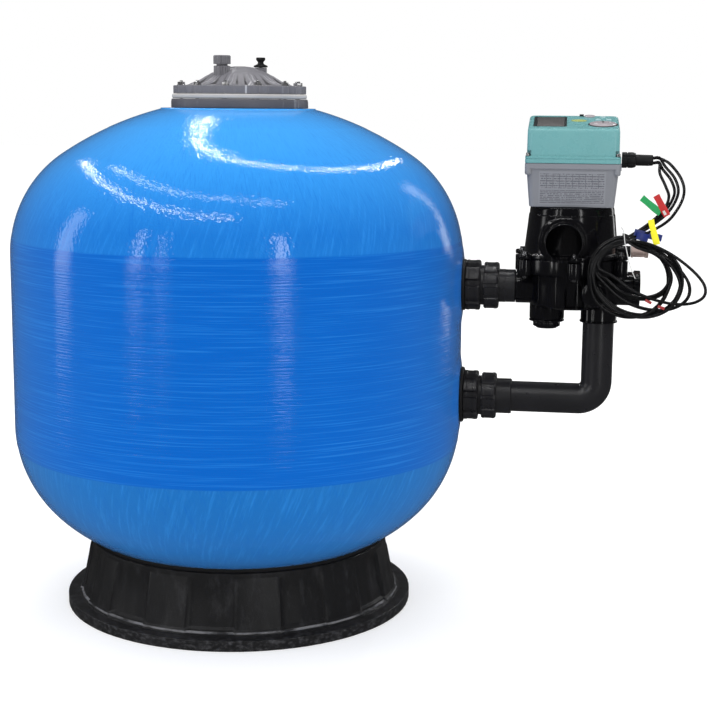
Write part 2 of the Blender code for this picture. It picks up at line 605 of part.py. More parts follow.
def make_actuator_cases():
    half_x, half_y = BOX_HALF
    bm = bmesh.new()
    lofted_mesh(bm, [(BOX_FLOOR, 0.0820, 0.0700, 0.010, 0), (0.9100, 0.0892, 0.0772, 0.010, 0),
                     (0.9103, half_x, half_y, 0.008, 0), (BOX_SPLIT - GAP, half_x, half_y, 0.008, 0),
                     (BOX_SPLIT - GAP, 0.0855, 0.0735, 0.008, 0),
                     (BOX_FLOOR + 0.004, 0.0785, 0.0665, 0.008, 0)])
    base = finish_mesh("actuator_base", bm, "case", (BOX_X, 0, 0))
    wall_x = BOX_X + half_x
    for name, middle_x, thickness, top in (("entry_plate_guide", wall_x + 0.0034, 0.0032, 0.9450),
                                           ("entry_foot_guide", wall_x, 0.0050, BOX_SPLIT - 0.0010)):
        block = bmesh.new()
        lofted_mesh(block, [(0.9140, thickness, 0.0180, 0.002, 0), (top, thickness, 0.0180, 0.002, 0)])
        add(base, finish_mesh(name, block, "case", (middle_x, 0, 0)))
    cut(base, turned("stem_hole_guide", rod(0.0110, 0.820, 0.860), 16, "case", (VALVE_X, 0, 0)))
    cut(base, turned("entry_hole_guide", rod(0.0090, 0.755, 0.785), 12, "case", (0, 0, ENTRY_Z), TO_X))

    bm = bmesh.new()
    middle = BOX_FRONT_TOP + (half_y - 0.004) * math.tan(BOX_TILT)
    lofted_mesh(bm, [(middle, 0.0820, 0.0735, 0.010, BOX_TILT),
                     (middle - 0.0030, 0.0880, 0.0768, 0.010, BOX_TILT),
                     (0.9360, 0.0885, 0.0770, 0.010, 0), (0.9350, half_x - GAP, half_y, 0.008, 0),
                     (BOX_SPLIT, half_x - GAP, half_y, 0.008, 0), (BOX_SPLIT, 0.0855, 0.0735, 0.008, 0),
                     (middle - 0.0070, 0.0800, 0.0710, 0.008, BOX_TILT)])
    lid = finish_mesh("actuator_lid", bm, "cover", (BOX_X, 0, 0))
    pockets = [
        panel_block("window_pocket_guide", WINDOW_HALF[0] + GAP, WINDOW_HALF[1] + GAP, -0.0020, 0.01,
                    "cover", WINDOW),
        turned("dial_pocket_guide", rod(0.0103, -0.0035, 0.01), 16, "cover", (*DIAL, 0), parent=PANEL),
    ]
    for name, place in KEYS.items():
        pockets.append(panel_block(name + "_pocket_guide", KEY_HALF[0] + GAP, KEY_HALF[1] + GAP,
                                   -0.0040, 0.01, "cover", place))
    for tool in pockets:
        cut(lid, tool)


def make_panel_parts():
    panel_block("display_window", *WINDOW_HALF, -0.0017, -0.0002, "window", WINDOW)
    turned("selector_dial", [(0, -0.0030), (0.0100, -0.0030), (0.0100, GAP), (0.0265, GAP),
                             (0.0265, 0.0030), (0.0230, 0.0045), (0, 0.0045)], 24, "window", (*DIAL, 0),
                             parent=PANEL)
    for name, place in KEYS.items():
        panel_block(name, *KEY_HALF, -0.0022, 0.0018, "key", place)


def gear_outline(teeth):
    """Trapezium teeth on a pitch circle, as (radius, angle) corners."""
    pitch_r = teeth * GEAR_MODULE / 2
    pitch = 2 * math.pi / teeth
    corners = []
    for i in range(teeth):
        middle = i * pitch
        corners += [(pitch_r - 0.95 * GEAR_MODULE, middle - 0.28 * pitch),
                    (pitch_r + 0.55 * GEAR_MODULE, middle - 0.13 * pitch),
                    (pitch_r + 0.55 * GEAR_MODULE, middle + 0.13 * pitch),
                    (pitch_r - 0.95 * GEAR_MODULE, middle + 0.28 * pitch)]
    return corners


def toothed(name, teeth, bore_r, low, high, place, start):
    bm = bmesh.new()
    rings = []
    for height in (low, high):
        rings.append([bm.verts.new((r * math.cos(a + start), r * math.sin(a + start), height))
                      for r, a in gear_outline(teeth)])
    bores = []
    for height in (low, high):
        bores.append([bm.verts.new((bore_r * math.cos(a + start), bore_r * math.sin(a + start), height))
                      for _, a in gear_outline(teeth)])
    bridge(bm, rings[0], rings[1])
    bridge(bm, bores[0], bores[1])
    bridge(bm, rings[0], bores[0])
    bridge(bm, rings[1], bores[1])
    return finish_mesh(name, bm, "gear", place)


MOTOR_X = VALVE_X + (GEAR_TEETH + PINION_TEETH) * GEAR_MODULE / 2


def make_drive():
    """Gear motor and the gear pair that turns the valve's stem."""
    toothed("output_gear", GEAR_TEETH, 0.0104, GEAR_Z, GEAR_Z + 0.008, (VALVE_X, 0, 0), 0)
    toothed("motor_pinion", PINION_TEETH, 0.0023, GEAR_Z, GEAR_Z + 0.008, (MOTOR_X, 0, 0),
            math.pi + math.pi / PINION_TEETH)
    turned("drive_motor", [(0, 0.8440), (0.0160, 0.8440), (0.0160, 0.8780), (0.0020, 0.8780),
                           (0.0020, GEAR_Z + 0.010), (0, GEAR_Z + 0.010)], 16, "steel", (MOTOR_X, 0, 0))


# ---------------------------------------------------------------- cables
SLEEVE_END = 0.8300
CABLE_STARTS = [(0.0050, 0.0040), (-0.0050, 0.0050), (0.0045, -0.0055), (-0.0050, -0.0045)]
# Each row is a cable's route from the sleeve to the top of the hank.
CABLE_ROUTES = [
    [(0.862, -0.006, 0.921), (0.884, -0.019, 0.893), (0.889, -0.040, 0.865), (0.874, -0.071, 0.834),
     (0.846, -0.100, 0.808)],
    [(0.853, -0.009, 0.916), (0.872, -0.021, 0.893), (0.878, -0.040, 0.866), (0.862, -0.067, 0.835),
     (0.833, -0.094, 0.811)],
    [(0.849, -0.003, 0.910), (0.866, -0.015, 0.888), (0.871, -0.035, 0.863), (0.853, -0.059, 0.832),
     (0.824, -0.087, 0.808)],
    [(0.843, -0.013, 0.903), (0.854, -0.027, 0.879), (0.860, -0.047, 0.858), (0.848, -0.070, 0.833),
     (0.817, -0.099, 0.807)],
]


def smooth_route(points, steps):
    """Catmull-Rom curve through the points, read at even parameter steps."""
    ends = [points[0] * 2 - points[1], *points, points[-1] * 2 - points[-2]]
    route = []
    for before, start, end, after in zip(ends, ends[1:], ends[2:], ends[3:]):
        for i in range(steps):
            t = i / steps
            route.append(0.5 * (2 * start + (end - before) * t
                                + (2 * before - 5 * start + 4 * end - after) * t * t
                                + (3 * start - before - 3 * end + after) * t ** 3))
    route.append(points[-1])
    return route


def make_cable(number, start, route):
    dy, dz = start
    points = [Vector((SLEEVE_END + 2 * GAP, dy, ENTRY_Z + dz)),
              Vector((SLEEVE_END + 0.012, dy, ENTRY_Z + dz))]
    points += [Vector(point) for point in route]
    curve = bpy.data.curves.new(f"control_cable_{number}", "CURVE")
    curve.dimensions = "3D"
    curve.bevel_depth = CABLE_R
    curve.bevel_resolution = 2
    curve.use_fill_caps = True
    path = smooth_route(points, 3)
    spline = curve.splines.new("POLY")
    spline.points.add(len(path) - 1)
    for slot, point in zip(spline.points, path):
        slot.co = (*point, 1.0)
    curve.materials.append(MATERIALS["cable"])
    cable = bpy.data.objects.new(f"control_cable_{number}", curve)
    cable.parent = ROOT
    COLLECTION.objects.link(cable)


def make_cables():
    turned("cable_gland", [(0.0117, 0.7733), (0.0155, 0.7733), (0.0155, 0.7900), (0.0135, 0.7960),
                           (0.0117, 0.7965)], 12, "rubber", (0, 0, ENTRY_Z), TO_X)
    turned("cable_sleeve", rod(0.0112, 0.7740, SLEEVE_END), 16, "rubber", (0, 0, ENTRY_Z), TO_X)
    for number, (start, route) in enumerate(zip(CABLE_STARTS, CABLE_ROUTES), 1):
        make_cable(number, start, route)
    bm = bmesh.new()
    half_width, half_depth = HANK_BAND[0] / 2, HANK_BAND[1] / 2
    rings = []
    steps = 24
    for i in range(steps):
        turn = 2 * math.pi * i / steps
        outward = Vector((math.cos(turn), 0, math.sin(turn)))
        middle = Vector(((HANK_OUTER[0] - half_width) * math.cos(turn), 0,
                         (HANK_OUTER[1] - half_width) * math.sin(turn)))
        ring = []
        for k in range(6):
            around = 2 * math.pi * (k + 0.5) / 6
            ring.append(bm.verts.new(middle + outward * half_width * math.cos(around) / math.cos(math.pi / 6)
                                     + Vector((0, half_depth * math.sin(around) / math.cos(math.pi / 6),
                                               0))))
        rings.append(ring)
    for ring, following in zip(rings, rings[1:] + rings[:1]):
        bridge(bm, ring, following)
    finish_mesh("cable_hank", bm, "cable", HANK_CENTRE)


make_vessel()
make_stand()
make_closure()
make_lid_fittings()
make_connections()
make_internals()
make_valve_body()
make_bonnet()
make_valve_inside()
make_valve_fittings()
make_actuator_cases()
make_panel_parts()
make_drive()
make_cables()
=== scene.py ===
import json
import math
import random

import bmesh
import bpy
from mathutils import Matrix, Quaternion, Vector
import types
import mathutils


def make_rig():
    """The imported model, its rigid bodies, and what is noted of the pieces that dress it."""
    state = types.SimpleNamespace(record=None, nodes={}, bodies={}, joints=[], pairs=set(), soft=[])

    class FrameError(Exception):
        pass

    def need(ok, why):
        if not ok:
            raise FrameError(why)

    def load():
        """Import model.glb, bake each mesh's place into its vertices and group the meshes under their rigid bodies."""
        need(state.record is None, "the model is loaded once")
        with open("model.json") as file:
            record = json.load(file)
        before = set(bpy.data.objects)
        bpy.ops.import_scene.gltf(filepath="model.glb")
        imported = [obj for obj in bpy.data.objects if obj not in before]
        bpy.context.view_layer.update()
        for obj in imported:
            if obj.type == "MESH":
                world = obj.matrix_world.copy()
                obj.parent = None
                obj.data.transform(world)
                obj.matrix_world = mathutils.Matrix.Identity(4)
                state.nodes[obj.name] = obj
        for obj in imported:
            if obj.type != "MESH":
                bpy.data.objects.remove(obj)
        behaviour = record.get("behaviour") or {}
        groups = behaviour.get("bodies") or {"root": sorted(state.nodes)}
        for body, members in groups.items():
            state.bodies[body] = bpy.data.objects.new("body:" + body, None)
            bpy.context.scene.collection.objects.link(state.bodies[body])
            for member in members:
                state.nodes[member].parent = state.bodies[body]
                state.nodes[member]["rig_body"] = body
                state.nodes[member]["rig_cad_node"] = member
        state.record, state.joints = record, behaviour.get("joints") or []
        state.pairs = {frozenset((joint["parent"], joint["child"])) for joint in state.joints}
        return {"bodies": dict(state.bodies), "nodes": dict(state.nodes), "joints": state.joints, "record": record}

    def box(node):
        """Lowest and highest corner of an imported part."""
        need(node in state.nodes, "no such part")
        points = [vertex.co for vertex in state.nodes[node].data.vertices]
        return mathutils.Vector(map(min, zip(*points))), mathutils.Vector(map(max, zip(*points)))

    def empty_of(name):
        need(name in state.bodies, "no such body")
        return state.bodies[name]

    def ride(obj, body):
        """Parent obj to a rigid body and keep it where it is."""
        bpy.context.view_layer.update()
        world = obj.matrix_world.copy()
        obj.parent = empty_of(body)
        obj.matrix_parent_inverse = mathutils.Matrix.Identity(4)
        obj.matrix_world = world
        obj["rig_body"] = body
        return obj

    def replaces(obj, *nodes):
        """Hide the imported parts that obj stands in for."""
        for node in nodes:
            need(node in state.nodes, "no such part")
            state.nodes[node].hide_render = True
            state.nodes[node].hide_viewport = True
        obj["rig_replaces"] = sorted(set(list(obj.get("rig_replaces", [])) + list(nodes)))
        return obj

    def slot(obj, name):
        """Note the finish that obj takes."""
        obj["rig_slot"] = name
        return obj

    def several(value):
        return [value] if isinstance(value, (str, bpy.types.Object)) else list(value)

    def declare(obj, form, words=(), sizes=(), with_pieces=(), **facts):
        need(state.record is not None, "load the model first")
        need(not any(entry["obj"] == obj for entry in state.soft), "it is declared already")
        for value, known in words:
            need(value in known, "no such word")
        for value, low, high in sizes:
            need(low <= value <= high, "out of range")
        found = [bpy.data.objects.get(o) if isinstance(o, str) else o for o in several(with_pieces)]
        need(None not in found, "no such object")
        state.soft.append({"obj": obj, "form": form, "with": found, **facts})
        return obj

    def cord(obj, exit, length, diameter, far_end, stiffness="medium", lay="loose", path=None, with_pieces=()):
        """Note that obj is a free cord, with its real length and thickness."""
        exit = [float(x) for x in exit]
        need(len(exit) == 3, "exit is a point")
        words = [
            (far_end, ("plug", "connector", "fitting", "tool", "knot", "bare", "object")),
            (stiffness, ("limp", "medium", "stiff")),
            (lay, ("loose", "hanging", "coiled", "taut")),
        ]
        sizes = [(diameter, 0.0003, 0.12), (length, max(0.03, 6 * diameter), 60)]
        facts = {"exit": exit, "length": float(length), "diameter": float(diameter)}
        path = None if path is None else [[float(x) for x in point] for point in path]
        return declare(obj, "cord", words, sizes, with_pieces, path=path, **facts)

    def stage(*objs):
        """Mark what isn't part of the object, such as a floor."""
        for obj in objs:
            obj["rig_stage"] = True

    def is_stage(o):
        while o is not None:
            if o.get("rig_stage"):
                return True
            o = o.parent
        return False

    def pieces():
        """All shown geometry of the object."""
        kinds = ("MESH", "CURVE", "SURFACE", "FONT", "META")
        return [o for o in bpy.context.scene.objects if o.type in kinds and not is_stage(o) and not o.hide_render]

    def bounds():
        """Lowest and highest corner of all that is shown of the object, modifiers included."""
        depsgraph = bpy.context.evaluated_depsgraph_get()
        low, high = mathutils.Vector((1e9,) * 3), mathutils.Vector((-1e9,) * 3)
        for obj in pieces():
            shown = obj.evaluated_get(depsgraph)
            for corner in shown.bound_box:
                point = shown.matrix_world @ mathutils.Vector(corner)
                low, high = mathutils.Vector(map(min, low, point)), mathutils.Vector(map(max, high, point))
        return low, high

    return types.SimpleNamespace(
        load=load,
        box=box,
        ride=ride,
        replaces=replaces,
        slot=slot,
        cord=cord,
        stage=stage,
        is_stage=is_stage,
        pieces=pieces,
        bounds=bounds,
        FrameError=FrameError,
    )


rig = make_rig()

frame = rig.load()
CAD_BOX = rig.bounds()

# ---- sizes shared with the frame
VESSEL_R = 0.46
AXIS_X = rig.box("tank_shell")[0].x + VESSEL_R      # every X below is measured from the vessel's axis
HOOP_LOW, HOOP_HIGH = 0.3826, 0.7291
TOP_KNUCKLE, TOP_CROWN_R = (0.2419, 0.9822), 0.6588
LOW_KNUCKLE, LOW_CROWN_R = (0.2508, 0.7704), 0.3041
SEAT_R, SEAT_Z, MOUTH_R = 0.157, 1.0206, 0.1
WOUND_LOW, WOUND_HIGH = 0.34, 0.764             # edges of the hoop-wound band
FOOT_R, FOOT_H = 0.36, 0.022
LID_X = 0.003
LID_BOLTS = 12
LID_BOLT_START = math.radians(29.3)                 # first bolt, from straight in front
LID_FIRST, LID_PITCH = LID_BOLT_START - math.pi / 2, 2 * math.pi / LID_BOLTS
PORT_LOW, PORT_HIGH = 0.447, 0.673
VALVE_X, RISER_X, DRAIN_X = 0.676, 0.735, 0.632
FRONT_PORT = (0.662, 0.7715)
SIGHT = (0.012, 0.746)
BOX_X, BOX_TILT = 0.674, math.radians(9.3)
PANEL_Z = 0.987 + 0.076 * math.tan(BOX_TILT)
ENTRY_Z = 0.927
LABEL_LOW, LABEL_HIGH = 0.8415, 0.9065
CABLE_R = 0.0029
SLEEVE_END = 0.83


def world(x, y, z):
    return Vector((AXIS_X + x, y, z))


# ---- node graphs
class Graph:
    """A Principled material with short calls to add nodes."""

    def __init__(self, name, colour, roughness, **settings):
        self.material = bpy.data.materials.new(name)
        self.material.use_nodes = True
        self.tree = self.material.node_tree
        self.shader = self.tree.nodes["Principled BSDF"]
        self.shader.inputs["Base Color"].default_value = (*colour, 1)
        self.shader.inputs["Roughness"].default_value = roughness
        for socket, value in settings.items():
            self.shader.inputs[socket.replace("_", " ")].default_value = value
        self.coords = self.tree.nodes.new("ShaderNodeTexCoord").outputs["Object"]

    def node(self, kind, inputs, **settings):
        made = self.tree.nodes.new("ShaderNode" + kind)
        for key, value in settings.items():
            setattr(made, key, value)
        for key, value in inputs.items():
            if isinstance(value, bpy.types.NodeSocket):
                self.tree.links.new(value, made.inputs[key])
            else:
                made.inputs[key].default_value = value
        return made

    def stretched(self, scale, source=None):
        """The object's coordinates times a scale for each axis."""
        return self.vector("MULTIPLY", source or self.coords, scale).outputs[0]

    def noise(self, scale, detail=3, source=None, rough=0.55):
        """Noise from 0 to 1; scale is one number, or one for each axis."""
        if isinstance(scale, tuple):
            source, scale = self.stretched(scale, source), 1
        return self.node("TexNoise", {"Vector": source or self.coords, "Scale": scale, "Detail": detail,
            "Roughness": rough}).outputs["Fac"]

    def spread(self, value, low, high, out_low=0, out_high=1):
        """The value carried from one range to another, and held at its ends."""
        return self.node("MapRange", {"Value": value, "From Min": low, "From Max": high, "To Min": out_low,
            "To Max": out_high}).outputs["Result"]

    def math(self, operation, first, second=0):
        return self.node("Math", {0: first, 1: second}, operation=operation).outputs[0]

    def times(self, first, second):
        return self.math("MULTIPLY", first, second)

    def minus(self, first, second):
        return self.math("SUBTRACT", first, second)

    def window(self, value, outer_low, inner_low, inner_high, outer_high):
        """1 between the inner limits, and 0 beyond the outer ones."""
        flanks = self.spread(value, outer_low, inner_low), self.spread(value, outer_high, inner_high)
        return self.times(*flanks)

    def vector(self, operation, first, second=(0, 0, 0), **inputs):
        return self.node("VectorMath", {0: first, 1: second, **inputs}, operation=operation)

    def place(self):
        """The X, Y and Z of the shaded point."""
        return self.node("SeparateXYZ", {0: self.coords}).outputs

    def blend(self, factor, first, second):
        """Two colours mixed by a factor."""
        made = self.tree.nodes.new("ShaderNodeMix")
        made.data_type = "RGBA"
        slots = {"factor": made.inputs[0], "first": made.inputs[6], "second": made.inputs[7]}
        for key, value in (("factor", factor), ("first", first), ("second", second)):
            if isinstance(value, bpy.types.NodeSocket):
                self.tree.links.new(value, slots[key])
            else:
                slots[key].default_value = value if key == "factor" else (*value, 1)
        return made.outputs[2]

    def link(self, value, socket):
        self.tree.links.new(value, self.shader.inputs[socket])

    def bump(self, height, strength, distance=0.001):
        made = self.node("Bump", {"Height": height, "Strength": strength, "Distance": distance})
        self.link(made.outputs["Normal"], "Normal")


def plastic(name, colour, roughness, grain=900, bump=0.12, streak=0, level=0.5, vary=0.25, coat=0):
    """Moulded plastic: cloudy tone, uneven gloss and a fine moulded grain."""
    graph = Graph(name, colour, roughness)
    graph.shader.inputs["Specular IOR Level"].default_value = level
    graph.shader.inputs["Coat Weight"].default_value = coat
    cloud = graph.noise(14, 4)
    darker = tuple(c * (1 - vary) for c in colour)
    lighter = tuple(min(1, c * (1 + vary)) for c in colour)
    graph.link(graph.blend(cloud, darker, lighter), "Base Color")
    rubbed = graph.noise(55, 5, rough=0.7)
    graph.link(graph.spread(rubbed, 0.3, 0.7, roughness * 0.8, min(1, roughness * 1.3)), "Roughness")
    height = graph.noise(grain, 2)
    if streak:
        lines = graph.noise((grain, grain, grain * 0.04), 2)
        height = graph.math("ADD", height, graph.times(lines, streak))
    graph.bump(height, bump, 0.0006)
    return graph


# Lean around the axis, strands around, strands along, and noise detail of each layer of the winding.
STRANDS = (0.6, 62, 105, 1), (-0.7, 75, 12, 4), (0.45, 170, 24, 4)


def vessel_material():
    """Blue gel-coated glass winding: hoop strands on the wall, crossing helical strands on both ends, with painted top
    light on the ends and a painted pale reflection at the grazing edges.
    """
    graph = Graph("vessel_winding", (0.004, 0.16, 0.66), 0.17)
    height = graph.place()["Z"]
    centred = graph.vector("ADD", graph.coords, (-AXIS_X, 0, 0)).outputs[0]
    flat = graph.vector("MULTIPLY", centred, (1, 1, 0)).outputs[0]
    around = graph.vector("NORMALIZE", flat).outputs[0]
    radius = graph.vector("LENGTH", flat).outputs["Value"]
    climbed = graph.math("ABSOLUTE", graph.minus(height, (WOUND_LOW + WOUND_HIGH) / 2))
    meridian = graph.minus(climbed, radius)         # grows from the rim of the mouth towards the wall
    strands = []
    for lean, density, climb, detail in STRANDS:
        leant = graph.node("VectorRotate", {"Vector": around, "Angle": graph.times(height, lean)},
            rotation_type="Z_AXIS").outputs[0]
        wide = graph.vector("SCALE", leant, Scale=density).outputs[0]
        rise = graph.node("CombineXYZ", {"Z": graph.times(meridian, climb)}).outputs[0]
        spot = graph.vector("ADD", wide, rise).outputs[0]
        strands.append(graph.noise(1, detail, source=spot, rough=0.6))
    helical = graph.math("ADD", strands[0], graph.times(strands[2], 0.015))
    coarse = graph.noise((5, 5, 380), 2)
    fine = graph.noise((9, 9, 640), 3)
    hoops = graph.math("ADD", graph.times(coarse, 0.75), graph.times(fine, 0.55))
    inside = graph.window(height, WOUND_LOW, WOUND_LOW + 0.003, WOUND_HIGH - 0.003, WOUND_HIGH)
    relief = graph.node("Mix", {0: inside, 2: helical, 3: hoops}).outputs[0]
    graph.bump(relief, 1, 0.00038)
    # painted light: the ends grow paler from the lower dome up to the crown, as overhead light shows them
    upper = graph.blend(graph.spread(height, 0.8, 0.98), (0.0085, 0.15, 0.52), (0.036, 0.305, 0.76))
    lower = graph.blend(graph.noise(2.5, 3), (0.008, 0.122, 0.4), (0.012, 0.145, 0.45))
    ends = graph.blend(graph.spread(height, 0.4, 0.8), lower, upper)
    wall = graph.blend(graph.noise(2, 3), (0.0014, 0.094, 0.43), (0.0024, 0.112, 0.485))
    tone = graph.blend(inside, ends, wall)
    pale = graph.node("Mix", {0: inside, 2: strands[1], 3: coarse}).outputs[0]
    tone = graph.blend(graph.spread(pale, 0.5, 0.8, 0, 0.3), tone, (0.04, 0.33, 0.85))
    deep = graph.node("Mix", {0: inside, 2: strands[2], 3: fine}).outputs[0]
    tone = graph.blend(graph.spread(deep, 0.5, 0.22, 0, 0.4), tone, (0.001, 0.09, 0.46))
    # painted reflection: a pale tint where the surface turns away from view, at the vessel's edges
    away = graph.node("LayerWeight", {"Blend": 0.3}).outputs["Facing"]
    tone = graph.blend(graph.times(graph.math("POWER", away, 1.6), 0.75), tone, (0.075, 0.235, 0.52))
    graph.link(tone, "Base Color")
    graph.link(graph.spread(strands[2], 0.3, 0.7, 0.055, 0.095), "Roughness")
    return graph.material


def stand_material():
    """Black recycled plastic with fine specks, scuffs, a scatter of damp spots and a painted highlight along the panel
    lips.
    """
    graph = Graph("stand_plastic", (0.01, 0.01, 0.011), 0.5)
    graph.shader.inputs["Specular IOR Level"].default_value = 0.42
    specks = graph.node("TexVoronoi", {"Vector": graph.coords, "Scale": 330}).outputs["Distance"]
    dots = graph.spread(specks, 0.16, 0.1)
    patches = graph.noise(9, 4)
    damp = graph.times(dots, graph.spread(patches, 0.45, 0.62))
    scuff = graph.spread(graph.noise((40, 40, 12), 6, rough=0.75), 0.52, 0.75)
    tone = graph.blend(scuff, (0.0085, 0.0085, 0.0095), (0.026, 0.026, 0.029))
    tone = graph.blend(graph.spread(damp, 0, 1, 0, 0.5), tone, (0.1, 0.1, 0.11))
    height = graph.place()["Z"]
    mottle = graph.times(graph.spread(height, FOOT_H + 0.001, FOOT_H - 0.001),
        graph.spread(graph.noise((95, 95, 160), 5, rough=0.7), 0.48, 0.7, 0, 0.75))
    tone = graph.blend(mottle, tone, (0.075, 0.075, 0.082))
    # painted highlight: a pale band at the height of the panel lips
    lips = graph.window(height, 0.025, 0.0262, 0.0284, 0.0298)
    painted_lip_highlight = graph.times(lips, graph.spread(graph.noise((24, 24, 60), 4), 0.4, 0.58, 0.08, 0.95))
    tone = graph.blend(painted_lip_highlight, tone, (0.17, 0.17, 0.18))
    graph.link(tone, "Base Color")
    gloss = graph.minus(graph.spread(patches, 0.35, 0.7, 0.52, 0.3), graph.times(damp, 0.2))
    graph.link(gloss, "Roughness")
    grain = graph.math("ADD", graph.noise(420, 3), graph.times(damp, 1.5))
    graph.bump(grain, 0.3, 0.0008)
    return graph.material


def lid_material(name, colour, dirt, spokes=0):
    """Grey moulded plastic, scratched along the ribs, with pale run marks; with spokes, painted shade along the pocket
    edges, a lighter line on each rib crest and a painted highlight streak at the front.
    """
    graph = plastic(name, colour, 0.42, grain=520, bump=0.22, streak=0.6, vary=0.18)
    runs = graph.noise((70, 70, 9), 5, rough=0.7)
    marks = graph.spread(runs, 0.58, 0.74, 0, dirt)
    base = graph.shader.inputs["Base Color"].links[0].from_socket
    tone = graph.blend(marks, base, (0.42, 0.42, 0.44))
    if spokes:                                       # painted shade at the pocket edges, lighter rib crests and a painted highlight streak
        spot = graph.place()
        across = graph.minus(spot["X"], AXIS_X + LID_X)
        turn = graph.math("ARCTAN2", spot["Y"], across)
        shifted = graph.math("DIVIDE", graph.minus(turn, LID_FIRST), LID_PITCH)
        near = graph.math("ABSOLUTE", graph.minus(graph.math("FRACT", shifted), 0.5))
        squares = graph.math("POWER", across, 2), graph.math("POWER", spot["Y"], 2)
        reach = graph.math("POWER", graph.math("ADD", *squares), 0.5)
        # painted shade: darker along the edges of the pockets between the ribs
        slope = graph.window(reach, 0.058, 0.078, 0.104, 0.108)
        edge = graph.window(near, 0.13, 0.17, 0.205, 0.235)
        painted_pocket_shade = graph.times(graph.times(edge, slope), spokes)
        tone = graph.blend(painted_pocket_shade, tone, tuple(c * 0.16 for c in colour))
        crest = graph.window(near, 0.36, 0.39, 0.41, 0.44)
        rubbed = graph.times(graph.times(crest, slope), spokes * 0.6)
        tone = graph.blend(rubbed, tone, (0.4, 0.4, 0.43))
        # painted highlight: a pale upright streak on the front of the lid
        aside = graph.math("ABSOLUTE", graph.minus(across, 0.04))
        front = graph.spread(aside, 0.0022, 0.0008, 0, 0.8), graph.spread(spot["Y"], -0.07, -0.085)
        streak = graph.times(*front)
        tone = graph.blend(streak, tone, (0.5, 0.5, 0.52))
    graph.link(tone, "Base Color")
    return graph.material


def steel_material(name, colour, roughness):
    """Turned metal, finely ringed and unevenly bright."""
    graph = Graph(name, colour, roughness, Metallic=1)
    turned = graph.noise((900, 900, 60), 3)
    graph.link(graph.spread(turned, 0.3, 0.7, roughness * 0.7, roughness * 1.5), "Roughness")
    graph.link(graph.blend(graph.noise(240, 4), tuple(c * 0.7 for c in colour), colour), "Base Color")
    graph.bump(turned, 0.15, 0.0003)
    return graph.material


def label_material():
    """Printed chart on the case: ruled cells above, and rows of plain dashes below."""
    graph = Graph("label_print", (0.208, 0.215, 0.238), 0.45)
    spot = graph.place()
    across = graph.minus(spot["X"], AXIS_X + BOX_X)
    up = graph.minus(spot["Z"], LABEL_LOW)

    def rows(value, step, thick):
        """1 on thin lines that repeat every step."""
        return graph.math("LESS_THAN", graph.math("FRACT", graph.math("DIVIDE", value, step)), thick)

    def words(scale, cut):
        return graph.spread(graph.noise((scale, scale, 260), 0), cut, cut + 0.04)

    rules = graph.math("MAXIMUM", rows(graph.math("ADD", across, 0.5), 0.0125, 0.08), rows(up, 0.0092, 0.09))
    entries = graph.times(rows(graph.math("ADD", up, 0.001), 0.0046, 0.5), words(620, 0.44))
    table = graph.math("MAXIMUM", rules, entries)
    dashes = graph.times(rows(up, 0.0034, 0.5), words(520, 0.36))
    upper = graph.math("GREATER_THAN", up, 0.0322)
    gap = graph.times(graph.math("GREATER_THAN", up, 0.0285), graph.math("LESS_THAN", up, 0.0322))
    lower = graph.times(dashes, graph.minus(1, graph.math("MAXIMUM", upper, gap)))
    ink = graph.math("ADD", graph.times(table, upper), lower)
    framed = graph.times(graph.math("GREATER_THAN", up, 0.0035), graph.math("LESS_THAN", up, 0.0603))
    within = graph.math("LESS_THAN", graph.math("ABSOLUTE", across), 0.0614)
    ink = graph.times(ink, graph.times(within, framed))
    tone = graph.blend(graph.noise(25, 3), (0.208, 0.216, 0.242), (0.235, 0.244, 0.27))
    graph.link(graph.blend(graph.times(ink, 0.8), tone, (0.06, 0.064, 0.082)), "Base Color")
    graph.bump(graph.noise(700, 2), 0.08, 0.0004)
    return graph.material


